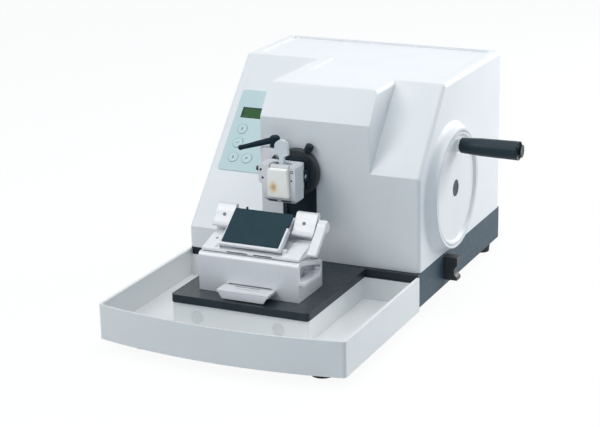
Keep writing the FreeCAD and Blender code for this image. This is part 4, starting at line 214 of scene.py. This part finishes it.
def make_wax():
    """Paraffin with a slice of stained tissue set into its front face, and a painted glow that lightens it."""
    made, tree, shader, where = new_tree("paraffin wax")
    rounded = rounded_edges(tree, WAX_EDGE_MM)[0]
    cloud = noise(tree, where, WAX_CLOUD_MM, detail=4.0)
    pale = mix_colour(tree, spread(tree, cloud, 0.0, 1.0), WAX_COOL, WAX_WARM)
    ragged = noise(tree, where, TISSUE_RAGGED_MM, detail=5.0, roughness=0.62)
    centre = Vector(TISSUE_CENTRE) * MM
    across = add_node(tree, "ShaderNodeVectorMath", {0: where, 1: centre}, operation="SUBTRACT").outputs[0]
    squeezed = stretched(tree, across, [1 / (size * MM) for size in TISSUE_SIZE])
    away = add_node(tree, "ShaderNodeVectorMath", {0: squeezed}, operation="LENGTH").outputs["Value"]
    uneven = math_node(tree, "ADD", away, spread(tree, ragged, -TISSUE_RAGGED_SHARE, TISSUE_RAGGED_SHARE))
    halo = spread(tree, uneven, 1.0, 0.0, *HALO_FADE)
    core = spread(tree, uneven, 1.0, 0.0, *CORE_FADE)
    stained = mix_colour(tree, halo, pale, TISSUE_HALO)
    stained = mix_colour(tree, core, stained, TISSUE_CORE)
    tree.links.new(stained, shader.inputs["Base Color"])
    tree.links.new(spread(tree, cloud, *WAX_ROUGHNESS), shader.inputs["Roughness"])
    shader.inputs["Subsurface Weight"].default_value = WAX_SUBSURFACE
    # Painted glow: an emission that lightens the wax, in place of the light it scatters inside itself
    shader.inputs["Emission Color"].default_value = WAX_PAINTED_GLOW
    shader.inputs["Emission Strength"].default_value = WAX_PAINTED_GLOW_STRENGTH
    shader.inputs["Subsurface Radius"].default_value = WAX_SCATTER
    shader.inputs["Subsurface Scale"].default_value = WAX_SCATTER_MM * MM
    relief = {"Height": ragged, "Normal": rounded, "Strength": WAX_RELIEF_STRENGTH,
              "Distance": WAX_RELIEF_MM * MM}
    tree.links.new(add_node(tree, "ShaderNodeBump", relief).outputs["Normal"], shader.inputs["Normal"])
    return made


FINISHES = {
    "cover_paint": finish("cover paint", srgb(242, 243, 245), 0.42, mottle=0.012, grain_mm=1.1,
                          grain_depth_mm=0.03, grain_strength=0.22, edge_mm=1.4),
    "base_paint": finish("base paint", srgb(62, 82, 94), 0.5, specular=0.25, mottle=0.06, mottle_mm=40, grain_mm=0.9,
                         grain_depth_mm=0.05, grain_strength=0.4, edge_mm=0.9, edge_colour=srgb(104, 122, 134)),
    "deck_black": finish("deck paint", srgb(34, 46, 53), 0.34, specular=0.3, mottle=0.05, mottle_mm=30, grain_mm=0.7,
                         grain_strength=0.25, edge_mm=0.9, edge_colour=srgb(92, 108, 118)),
    "tray_white": finish("tray plastic", srgb(240, 241, 241), 0.36, mottle=0.015, mottle_mm=90, grain_mm=1.4,
                         grain_strength=0.15, edge_mm=0.8, edge_colour=PALE_EDGE),
    "foot_rubber": finish("foot rubber", srgb(34, 38, 42), 0.75, mottle=0.1, mottle_mm=8, grain_mm=0.6,
                          grain_depth_mm=0.05, grain_strength=0.5, edge_mm=0.5),
    "panel_film": finish("panel film", srgb(198, 220, 223), 0.4, mottle=0.015, mottle_mm=25, grain_mm=0.5,
                         grain_depth_mm=0.01, grain_strength=0.3, edge_mm=0.2),
    "display_green": finish("display glass", srgb(52, 96, 54), 0.3, mottle=0.06, mottle_mm=12, grain_mm=0.5,
                            grain_strength=0.05, edge_mm=0.2, specular=0.2),
    "key_film": finish("key film", srgb(204, 224, 226), 0.38, mottle=0.015, mottle_mm=25, grain_mm=0.5,
                       grain_depth_mm=0.01, grain_strength=0.3, edge_mm=0.4),
    "board_green": finish("circuit board", srgb(38, 92, 58), 0.35, mottle=0.12, mottle_mm=6, grain_mm=0.8, edge_mm=0.2),
    "black_coat": finish("black coat", srgb(36, 49, 57), 0.5, specular=0.15, mottle=0.06, mottle_mm=14, grain_mm=0.5,
                         grain_strength=0.35, edge_mm=0.6, edge_colour=srgb(104, 116, 124)),
    "steel": finish("steel", srgb(186, 190, 196), 0.3, metallic=1.0, mottle=0.05, mottle_mm=12, grain_mm=0.5,
                    grain_strength=0.35, edge_mm=0.4, edge_colour=BRIGHT_EDGE, brush=BRUSH_Z),
    "holder_steel": finish("holder nickel", srgb(226, 227, 231), 0.42, metallic=0.24, mottle=0.02, mottle_mm=25,
                           grain_mm=0.6, grain_strength=0.3, gloss_range=0.05, edge_mm=0.7,
                           edge_colour=BRIGHT_EDGE, brush=BRUSH_X),
    "frame_iron": finish("frame iron", srgb(92, 97, 104), 0.6, metallic=0.6, mottle=0.12, mottle_mm=18, grain_mm=1.6,
                         grain_depth_mm=0.12, grain_strength=0.6, edge_mm=0.8, edge_colour=srgb(150, 154, 160)),
    "bronze": finish("bearing bronze", srgb(186, 148, 92), 0.32, metallic=1.0, mottle=0.08, mottle_mm=8,
                     grain_mm=0.5, edge_mm=0.3, edge_colour=srgb(226, 196, 140), brush=BRUSH_X),
    "wheel_white": finish("wheel plastic", srgb(243, 244, 245), 0.34, mottle=0.01, mottle_mm=60, grain_mm=1.2,
                          grain_strength=0.1, edge_mm=0.5),
    "grip_dark": finish("grip plastic", srgb(27, 46, 55), 0.36, specular=0.24, mottle=0.05, mottle_mm=20, grain_mm=0.8,
                        grain_strength=0.2, edge_mm=0.8, edge_colour=srgb(76, 92, 100)),
    "wax": make_wax(),
    "cassette_white": finish("cassette plastic", srgb(226, 228, 224), 0.5, mottle=0.03, mottle_mm=9, grain_mm=0.8,
                             edge_mm=0.4, edge_colour=PALE_EDGE),
    "paddle_white": finish("lever paint", srgb(226, 231, 236), 0.32, mottle=0.02, mottle_mm=15, grain_mm=0.8,
                           grain_strength=0.15, edge_mm=1.0, edge_colour=PALE_EDGE),
    "plate_dark": finish("section plate coat", srgb(35, 61, 70), 0.5, specular=0.15, mottle=0.05, mottle_mm=14,
                         grain_mm=0.45, grain_strength=0.4, edge_mm=0.3, edge_colour=srgb(110, 128, 136)),
    "blade_steel": finish("blade steel", srgb(214, 217, 221), 0.16, metallic=1.0, mottle=0.02, mottle_mm=20,
                          grain_mm=0.25, grain_depth_mm=0.004, edge_mm=0.1, brush=BRUSH_X),
    "magnet_plate": finish("magnet plating", srgb(224, 226, 226), 0.42, metallic=0.2, mottle=0.05, mottle_mm=9,
                           grain_mm=0.5, edge_mm=0.4, edge_colour=BRIGHT_EDGE),
    "black_plastic": finish("black plastic", srgb(40, 46, 51), 0.45, mottle=0.05, mottle_mm=10, grain_mm=0.6,
                            grain_depth_mm=0.04, grain_strength=0.4, edge_mm=0.5, edge_colour=srgb(92, 100, 106)),
}


# Nodes whose finish differs a little from the rest of their slot
OWN_FINISHES = {
    # Painted light: the carrier is a lighter copy of the holder nickel, so that its upward faces show as bright as a
    # lit top
    "cross_slide": finish("carrier nickel lit copy", srgb(246, 247, 249), 0.4, metallic=0.05, mottle=0.012, mottle_mm=25,
                          grain_mm=0.6, grain_strength=0.2, edge_mm=0.5, brush=BRUSH_X),
    "back_plate": finish("back plate nickel", srgb(224, 225, 227), 0.46, metallic=0.2, mottle=0.02, mottle_mm=25,
                         grain_mm=0.6, grain_strength=0.25, edge_mm=0.6, edge_colour=BRIGHT_EDGE, brush=BRUSH_X),
    "head_flange": finish("flange coat", srgb(62, 67, 70), 0.5, specular=0.25, mottle=0.06, mottle_mm=14,
                          grain_mm=0.5, grain_strength=0.35, edge_mm=0.6, edge_colour=srgb(104, 116, 124)),
    # Painted shade: the lever's coat is a darker copy of the black coat, darkened to take down the light on its top
    "orientation_lever": finish("lever coat shaded copy", srgb(26, 44, 54), 0.55, specular=0.1, mottle=0.06, mottle_mm=14,
                                grain_mm=0.5, grain_strength=0.3, edge_mm=0.5),
}


def dress_nodes():
    """Gives every piece of the construction the finish of its material slot."""
    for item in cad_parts.values():
        made = OWN_FINISHES.get(item.name) or FINISHES[item.data.materials[0].name.split(".")[0]]
        for slot in item.material_slots:
            slot.material = made


dress_nodes()


# Shapes
def seat(point, outward, across=(1.0, 0.0, 0.0)):
    """A frame on a surface: its origin in millimetres, X across, Y up the surface and Z out of it."""
    out = Vector(outward).normalized()
    side = (Vector(across) - out * out.dot(Vector(across))).normalized()
    axes = Matrix((side, out.cross(side), out)).transposed()
    return Matrix.Translation(Vector(point) * MM) @ axes.to_4x4()


def ring_points(work, where, sides, radius, height, form="round"):
    """One ring of points of a turned shape, round or six-sided."""
    made = []
    for step in range(sides):
        angle = 2 * math.pi * step / sides
        reach = radius
        if form == "hex":
            reach *= math.cos(math.pi / 6) / math.cos(angle % (math.pi / 3) - math.pi / 6)
        spot = Vector((reach * math.cos(angle), reach * math.sin(angle), height)) * MM
        made.append(work.verts.new(where @ spot))
    return made


def turned(work, where, profile, sides=24, closed=False):
    """A turned shape. Its profile lists radius, height and form from the foot up, and a closed one makes a ring."""
    rings = [ring_points(work, where, sides, *point) for point in profile]
    loops = list(zip(rings, rings[1:] + rings[:1])) if closed else list(zip(rings, rings[1:]))
    for low, high in loops:
        for step in range(sides):
            after = (step + 1) % sides
            work.faces.new((low[step], low[after], high[after], high[step]))
    if not closed:
        work.faces.new(rings[0])
        work.faces.new(rings[-1])


def slab(work, where, outline, low, high):
    """A flat shape of that outline between two heights."""
    floor = [work.verts.new(where @ (Vector((x, y, low)) * MM)) for x, y in outline]
    roof = [work.verts.new(where @ (Vector((x, y, high)) * MM)) for x, y in outline]
    work.faces.new(floor)
    work.faces.new(roof)
    for step in range(len(outline)):
        after = (step + 1) % len(outline)
        work.faces.new((floor[step], floor[after], roof[after], roof[step]))


def block(left, right, low, high):
    """A rectangle's outline."""
    return [(left, low), (right, low), (right, high), (left, high)]


def frame_slabs(work, where, outer, inner, low, high):
    """Four strips between an outer and an inner rectangle, each given as left, right, foot and top."""
    left, right, foot, top = outer
    inner_left, inner_right, inner_foot, inner_top = inner
    for strip in (block(left, inner_left, foot, top), block(inner_right, right, foot, top),
                  block(inner_left, inner_right, foot, inner_foot), block(inner_left, inner_right, inner_top, top)):
        slab(work, where, strip, low, high)


def add_piece(name, body, slot_name, work, material=None):
    """A new piece that rides on a body and takes its finish from a material slot or a finish of its own."""
    bmesh.ops.recalc_face_normals(work, faces=work.faces)
    mesh = bpy.data.meshes.new(name)
    work.to_mesh(mesh)
    work.free()
    for face in mesh.polygons:
        face.use_smooth = False
    piece = bpy.data.objects.new(name, mesh)
    scene.collection.objects.link(piece)
    mesh.materials.append(material or FINISHES[slot_name])
    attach(piece, body)


# Finishes of the small pieces
PRINT_TEAL = finish("printed lines", srgb(158, 184, 191), 0.45, mottle=0.03, mottle_mm=8, grain_mm=0.4, edge_mm=0.05)
PRINT_DARK = finish("printed symbols", srgb(92, 116, 124), 0.45, mottle=0.04, mottle_mm=8, grain_mm=0.4, edge_mm=0.05)
# Painted shadow: the darker green of the shade that the display's recess casts on the glass
DISPLAY_RECESS_SHADE = finish("display border", srgb(20, 44, 38), 0.3, mottle=0.05, mottle_mm=6, grain_mm=0.4, edge_mm=0.05)
DISPLAY_DIGIT = finish("display digits", srgb(24, 50, 28), 0.35, mottle=0.05, mottle_mm=4, grain_mm=0.4, edge_mm=0.05)
DARK_SCREW = finish("blackened screw", srgb(50, 56, 62), 0.42, metallic=0.5, mottle=0.08, mottle_mm=3, grain_mm=0.3,
                    edge_mm=0.15, edge_colour=srgb(120, 126, 132))
BARE_SCREW = finish("bright screw", srgb(128, 132, 138), 0.5, metallic=0.2, specular=0.2, mottle=0.05,
                    mottle_mm=3, grain_mm=0.3, edge_mm=0.15, edge_colour=BRIGHT_EDGE)
# Painted shade: the dark grey laid into gaps, slits and a downward face where shade falls
PAINTED_SEAM_SHADE = finish("painted seam shade", srgb(84, 92, 98), 0.6, mottle=0.06, mottle_mm=6, grain_mm=0.4, edge_mm=0.05)


# A screw's socket: its size as a share of the head's, the round lip about it, and its floor's height
SOCKET_SHARE = 0.5
SOCKET_LIP = 1.2
SOCKET_FLOOR = 0.3
SCREW_RIM = 0.35
SMALL_SCREW_RIM = 0.2


def socket_screw(work, where, radius, height, rim=SCREW_RIM):
    """A button head with a six-sided socket. It stands on the surface at its foot."""
    socket = radius * SOCKET_SHARE
    turned(work, where, [(radius, 0.0), (radius, height - rim), (radius - rim, height), (socket * SOCKET_LIP, height),
                         (socket, height, "hex"), (socket, height * SOCKET_FLOOR, "hex")])


# The panel's print. Its plane leans back with the left slope.
SLOPE_OUT = (0.0, -0.7317, 0.6816)
KEY_TOPS = {"up": (-186.75, 65.62, 213.15), "step": (-186.75, 50.21, 196.62),
            "down": (-186.75, 34.53, 179.79), "start": (-165.25, 34.53, 179.79)}
PRINT_RISE = 0.12
RING_OUTER = 7.7
RING_INNER = 7.1


def key_symbol(kind):
    """The outlines of a key's symbol, in millimetres about the key's centre."""
    if kind == "up":
        return [[(-0.6, -2.4), (0.6, -2.4), (0.6, 0.4), (-0.6, 0.4)], [(-1.8, 0.4), (1.8, 0.4), (0.0, 2.6)]]
    if kind == "down":
        return [[(-0.6, -0.4), (0.6, -0.4), (0.6, 2.4), (-0.6, 2.4)], [(-1.8, -0.4), (0.0, -2.6), (1.8, -0.4)]]
    if kind == "step":
        return [block(-3.2, -1.4, -1.1, -0.3), block(-1.4, 0.4, -0.3, 0.5), block(0.4, 2.2, 0.5, 1.3)]
    return [[(-1.5, -1.9), (2.0, 0.0), (-1.5, 1.9)]]


def make_keys_print():
    for kind, top in KEY_TOPS.items():
        where = seat(top, SLOPE_OUT)
        work = bmesh.new()
        turned(work, where, [(RING_OUTER, 0.0), (RING_OUTER, PRINT_RISE), (RING_INNER, PRINT_RISE),
                             (RING_INNER, 0.0)], sides=48, closed=True)
        add_piece(f"{kind}_key_ring", f"{kind}_key", "key_film", work, PRINT_TEAL)
        work = bmesh.new()
        for outline in key_symbol(kind):
            slab(work, where, outline, 0.0, PRINT_RISE)
        add_piece(f"{kind}_key_symbol", f"{kind}_key", "key_film", work, PRINT_DARK)


DISPLAY_CENTRE = (-169.25, 84.52, 231.96)
DISPLAY_HALF_WIDTH = 26.5
DISPLAY_HALF_HEIGHT = 8.3
# The widths of the painted shadow that the display's recess casts, a dark frame, at the left, right, foot and top
RECESS_SHADE_WIDTHS = (3.2, 1.4, 0.9, 1.8)
RECESS_SHADE_RISE = 0.1
READOUT = "0125"
FIRST_DIGIT_X = -12.0
DIGIT_PITCH = 8.0
DIGIT_HALF_WIDTH = 2.1
DIGIT_HALF_HEIGHT = 4.2
DIGIT_STROKE = 0.75
DIGIT_RISE = 0.06
# Segments of a figure, from its top clockwise round and then the middle, that each digit lights.
LIT = {"0": "abcdef", "1": "bc", "2": "abged", "5": "afgcd"}
SEGMENT_PLACES = {"a": (0, 2, 0), "b": (1, 1, 1), "c": (1, -1, 1), "d": (0, -2, 0), "e": (-1, -1, 1),
                  "f": (-1, 1, 1), "g": (0, 0, 0)}


def digit(work, where, centre, sign):
    """One figure of lit bars. A segment's place counts half widths across and quarter heights up."""
    half_stroke = DIGIT_STROKE / 2
    for name in LIT[sign]:
        across, up, upright = SEGMENT_PLACES[name]
        x = centre + across * DIGIT_HALF_WIDTH
        y = up * DIGIT_HALF_HEIGHT / 2
        half_x, half_y = DIGIT_HALF_WIDTH - half_stroke, half_stroke
        if upright:
            half_x, half_y = half_stroke, DIGIT_HALF_HEIGHT / 2 - half_stroke
        slab(work, where, block(x - half_x, x + half_x, y - half_y, y + half_y), 0.0, DIGIT_RISE)


def make_display():
    """The painted shadow of the display's recess, drawn as a dark frame, and a plain readout."""
    where = seat(DISPLAY_CENTRE, SLOPE_OUT)
    work = bmesh.new()
    outer = (-DISPLAY_HALF_WIDTH, DISPLAY_HALF_WIDTH, -DISPLAY_HALF_HEIGHT, DISPLAY_HALF_HEIGHT)
    inner = [edge + side * width for edge, side, width in zip(outer, (1, -1, 1, -1), RECESS_SHADE_WIDTHS)]
    frame_slabs(work, where, outer, inner, 0.0, RECESS_SHADE_RISE)
    add_piece("display_border", "frame", "display_green", work, DISPLAY_RECESS_SHADE)
    work = bmesh.new()
    for index, sign in enumerate(READOUT):
        digit(work, where, FIRST_DIGIT_X + DIGIT_PITCH * index, sign)
    add_piece("display_digits", "frame", "display_green", work, DISPLAY_DIGIT)


# Screws, pins, and the painted shade in the seams and slits of the blade holder
WING_OUT = (0.0, -0.823, 0.568)
SHOULDER_OUT = (0.0, -0.259, 0.966)
FRONT_OUT = (0.0, -1.0, 0.0)
UP_OUT = (0.0, 0.0, 1.0)
# Place, direction, radius and height of each screw
HOLDER_SCREWS = (((-111.3, -138.9, 154.1), WING_OUT, 2.4, 0.7), ((3.3, -138.6, 154.5), WING_OUT, 2.4, 0.7),
                 ((-111.2, -161.9, 128.1), SHOULDER_OUT, 1.8, 0.5))
CARRIER_FRONT = (0.0, -186.2, 120.1)
# Painted shade: the dark strips on the carrier's front stand for the shade in its gaps
CARRIER_SLOT_SHADES = (block(-85.0, -55.4, -0.7, 0.8), block(-47.0, -21.0, -0.7, 0.8))
CARRIER_SLOT_SHADE_RISE = 0.08
LIP_TOP = (0.0, -196.0, 78.4)
LIP_SLIT = block(-69.6, -33.6, -0.7, 0.7)
LIP_SLIT_RISE = 0.06
PLATE_PIN_FOOT = (-80.0, -134.4, 160.6)
PLATE_PIN = [(1.5, 0.0), (1.5, 5.2), (1.0, 5.7)]
PIN_SIDES = 16


def make_holder_details():
    work = bmesh.new()
    for place, outward, radius, height in HOLDER_SCREWS:
        socket_screw(work, seat(place, outward), radius, height)
    add_piece("holder_screws", "blade_carrier", "holder_steel", work, BARE_SCREW)
    work = bmesh.new()
    for outline in CARRIER_SLOT_SHADES:
        slab(work, seat(CARRIER_FRONT, FRONT_OUT), outline, 0.0, CARRIER_SLOT_SHADE_RISE)
    add_piece("carrier_slot_shades", "blade_carrier", "holder_steel", work, PAINTED_SEAM_SHADE)
    work = bmesh.new()
    slab(work, seat(LIP_TOP, UP_OUT), LIP_SLIT, 0.0, LIP_SLIT_RISE)
    add_piece("lip_slit_shadow", "holder_front_lever", "holder_steel", work, PAINTED_SEAM_SHADE)
    work = bmesh.new()
    turned(work, seat(PLATE_PIN_FOOT, UP_OUT), PLATE_PIN, sides=PIN_SIDES)
    add_piece("plate_pin", "section_plate", "black_coat", work, DARK_SCREW)


# Screws and pins of the specimen clamp
# Place, radius and height of each screw on the front
CLAMP_LEFT_SCREWS = (((-80.2, -92.2, 205.9), 1.7, 0.5), ((-77.6, -92.2, 195.0), 1.6, 0.5))
CLAMP_RIGHT_SCREWS = (((-35.6, -92.2, 194.4), 1.3, 0.4),)
CLAMP_RING_PLACE = (-35.0, -92.2, 206.4)
CLAMP_RING = [(2.2, 0.0), (2.2, 0.3), (1.4, 0.3), (1.4, 0.0)]
SIDE_SCREW_PLACE = (-83.4, -88.8, 206.4)
SIDE_SCREW = [(3.2, 0.0), (3.2, 3.6), (2.6, 4.2), (1.6, 4.2), (1.4, 4.2, "hex"), (1.4, 2.0, "hex")]
LOCK_KEY_PLACE = (-76.6, -57.7, 214.6)
LOCK_KEY = [(-4.0, -2.4), (4.0, -2.4), (0.4, 3.0)]
LOCK_KEY_THICKNESS = 0.8
JAW_PIN_PLACE = (-63.6, -75.2, 211.6)
JAW_PIN = [(1.8, 0.0), (1.8, 3.0), (1.4, 3.4)]
LEFT_OUT = (-1.0, 0.0, 0.0)
REARWARD = (0.0, 1.0, 0.0)


def make_clamp_details():
    work = bmesh.new()
    for place, radius, height in CLAMP_LEFT_SCREWS:
        socket_screw(work, seat(place, FRONT_OUT), radius, height, SMALL_SCREW_RIM)
    turned(work, seat(CLAMP_RING_PLACE, FRONT_OUT), CLAMP_RING, closed=True)
    for place, radius, height in CLAMP_RIGHT_SCREWS:
        socket_screw(work, seat(place, FRONT_OUT), radius, height, SMALL_SCREW_RIM)
    add_piece("clamp_screws", "specimen_clamp", "holder_steel", work, DARK_SCREW)
    work = bmesh.new()
    turned(work, seat(SIDE_SCREW_PLACE, LEFT_OUT, REARWARD), SIDE_SCREW)
    add_piece("clamp_side_screw", "specimen_clamp", "black_coat", work, DARK_SCREW)
    work = bmesh.new()
    slab(work, seat(LOCK_KEY_PLACE, FRONT_OUT), LOCK_KEY, 0.0, LOCK_KEY_THICKNESS)
    add_piece("lock_block_key", "feed", "black_coat", work, DARK_SCREW)
    work = bmesh.new()
    turned(work, seat(JAW_PIN_PLACE, FRONT_OUT), JAW_PIN, sides=PIN_SIDES)
    add_piece("jaw_pin_end", "specimen_clamp", "black_coat", work, DARK_SCREW)


# Painted shade: a thin dark sheet on the clamp's downward face under its lip, where shade falls, with a bright stop on
# it
SHADE_BAR_PLACE = (-52.46, -89.52, 164.82)
SHADE_BAR_OUT = (0.0, -0.7071, -0.7071)
SHADE_BAR = [(-16.0, -2.6), (13.0, -2.6), (16.5, 2.4), (-19.0, 2.4)]
SHADE_BAR_THICKNESS = 0.25
STOP = block(-4.6, 0.6, -2.8, 2.8)
STOP_TOP = 0.9


def make_clamp_shade_bar():
    """Painted shade under the clamp's lip, a thin dark bar, with its bright stop."""
    under = seat(SHADE_BAR_PLACE, SHADE_BAR_OUT)
    work = bmesh.new()
    slab(work, under, SHADE_BAR, 0.0, SHADE_BAR_THICKNESS)
    add_piece("clamp_painted_shade", "specimen_clamp", "black_coat", work, PAINTED_SEAM_SHADE)
    work = bmesh.new()
    slab(work, under, STOP, SHADE_BAR_THICKNESS, STOP_TOP)
    add_piece("clamp_stop", "specimen_clamp", "holder_steel", work)


# The rear wall's bare plate, and the marks of the mains switch
RATING_PLACE = (-20.0, 297.8, 102.0)
RATING_PLATE = block(-32.0, 32.0, -18.0, 18.0)
RATING_THICKNESS = 0.4
RIVETS = ((-29.0, -15.0), (29.0, -15.0), (-29.0, 15.0), (29.0, 15.0))
RIVET = [(1.5, 0.0), (1.3, 0.5), (0.6, 0.9)]
ON_MARK_PLACE = (-125.25, 301.93, 106.1)
ON_MARK_OUT = (0.0, 0.979, -0.205)
ON_MARK = block(-0.5, 0.5, -2.4, 2.4)
OFF_MARK_PLACE = (-125.25, 300.22, 93.9)
OFF_MARK_OUT = (0.0, 0.998, -0.07)
OFF_MARK = [(2.4, 0.0), (2.4, 0.1), (1.5, 0.1), (1.5, 0.0)]
MARK_RISE = 0.1


def make_rear_details():
    work = bmesh.new()
    rear = seat(RATING_PLACE, REARWARD, LEFT_OUT)
    slab(work, rear, RATING_PLATE, 0.0, RATING_THICKNESS)
    add_piece("rating_plate", "frame", "steel", work)
    work = bmesh.new()
    for x, y in RIVETS:
        on_plate = rear @ Matrix.Translation(Vector((x, y, RATING_THICKNESS)) * MM)
        turned(work, on_plate, RIVET, sides=PIN_SIDES)
    add_piece("rating_plate_rivets", "frame", "steel", work)
    work = bmesh.new()
    slab(work, seat(ON_MARK_PLACE, ON_MARK_OUT, LEFT_OUT), ON_MARK, 0.0, MARK_RISE)
    turned(work, seat(OFF_MARK_PLACE, OFF_MARK_OUT, LEFT_OUT), OFF_MARK, closed=True)
    add_piece("switch_marks", "mains_switch", "tray_white", work)


make_keys_print()
make_display()
make_holder_details()
make_clamp_details()
make_clamp_shade_bar()
make_rear_details()


# Light
SKY_COLOUR = (0.62, 0.84, 1.0, 1.0)
SKY_STRENGTH = 0.3
WHITE = (1.0, 1.0, 1.0, 1.0)


def seen_directly(tree):
    """1 for rays from the camera, a mirror or glass, and 0 for the rays that light the machine."""
    path = tree.nodes.new("ShaderNodeLightPath").outputs
    sharp = math_node(tree, "MAXIMUM", path["Is Glossy Ray"], path["Is Transmission Ray"])
    return math_node(tree, "MAXIMUM", path["Is Camera Ray"], sharp)


def make_world():
    world = bpy.data.worlds.new("studio")
    world.use_nodes = True
    tree = world.node_tree
    tree.nodes.clear()
    light = add_node(tree, "ShaderNodeBackground", {"Color": SKY_COLOUR, "Strength": SKY_STRENGTH})
    shown = add_node(tree, "ShaderNodeBackground", {"Color": WHITE, "Strength": 1.0})
    both = add_node(tree, "ShaderNodeMixShader", {0: seen_directly(tree), 1: light.outputs[0], 2: shown.outputs[0]})
    add_node(tree, "ShaderNodeOutputWorld", {"Surface": both.outputs[0]})
    scene.world = world


def make_lamp(name, position, width, height, power, colour):
    """A soft rectangular lamp that faces the machine."""
    data = bpy.data.lights.new(name, "AREA")
    data.shape = "RECTANGLE"
    data.size, data.size_y = width, height
    data.energy = power
    data.color = colour
    lamp = bpy.data.objects.new(name, data)
    lamp.location = position
    lamp.rotation_mode = "QUATERNION"
    lamp.rotation_quaternion = (Vector(position) - Vector(LAMP_AIM)).to_track_quat("Z", "Y")
    scene.collection.objects.link(lamp)


FLOOR_RADIUS = 9.0
FLOOR_SIDES = 96
FLOOR_SHADOW_SHARE = 0.12
FLOOR_TONE_MM = 300.0
FLOOR_TONES = srgb(206, 210, 214), srgb(212, 215, 218)
FLOOR_GLOW = 1.06


def make_floor():
    """A round pale floor, seen as white, which keeps a part of the machine's shadow."""
    mesh = bpy.data.meshes.new("floor")
    work = bmesh.new()
    bmesh.ops.create_circle(work, cap_ends=True, segments=FLOOR_SIDES, radius=FLOOR_RADIUS)
    work.to_mesh(mesh)
    work.free()
    floor = bpy.data.objects.new("floor", mesh)
    scene.collection.objects.link(floor)
    made, tree, shader, where = new_tree("floor")
    tone = mix_colour(tree, noise(tree, where, FLOOR_TONE_MM, detail=3.0), *FLOOR_TONES)
    tree.links.new(tone, shader.inputs["Base Color"])
    shader.inputs["Roughness"].default_value = 0.9
    shader.inputs["Specular IOR Level"].default_value = 0.1
    glow = add_node(tree, "ShaderNodeEmission", {"Color": WHITE, "Strength": FLOOR_GLOW})
    share = math_node(tree, "MULTIPLY", seen_directly(tree), 1 - FLOOR_SHADOW_SHARE)
    both = add_node(tree, "ShaderNodeMixShader", {0: share, 1: shader.outputs[0], 2: glow.outputs[0]})
    tree.links.new(both.outputs[0], tree.nodes["Material Output"].inputs["Surface"])
    mesh.materials.append(made)


# Place, width, height, power and colour of each lamp
LAMPS = {
    "front left": ((-1.0, -1.45, 1.45), 1.0, 1.0, 14.0, (1.0, 0.985, 0.96)),
    "overhead": ((0.15, -0.1, 1.9), 1.4, 1.2, 14.0, (1.0, 0.985, 0.97)),
    "right rear": ((1.15, 1.6, 0.85), 1.2, 1.2, 29.0, (1.0, 0.985, 0.97)),
}
LAMP_AIM = (0.0, 0.0, 0.16)

make_world()
make_floor()
for lamp_name, settings in LAMPS.items():
    make_lamp(lamp_name, *settings)
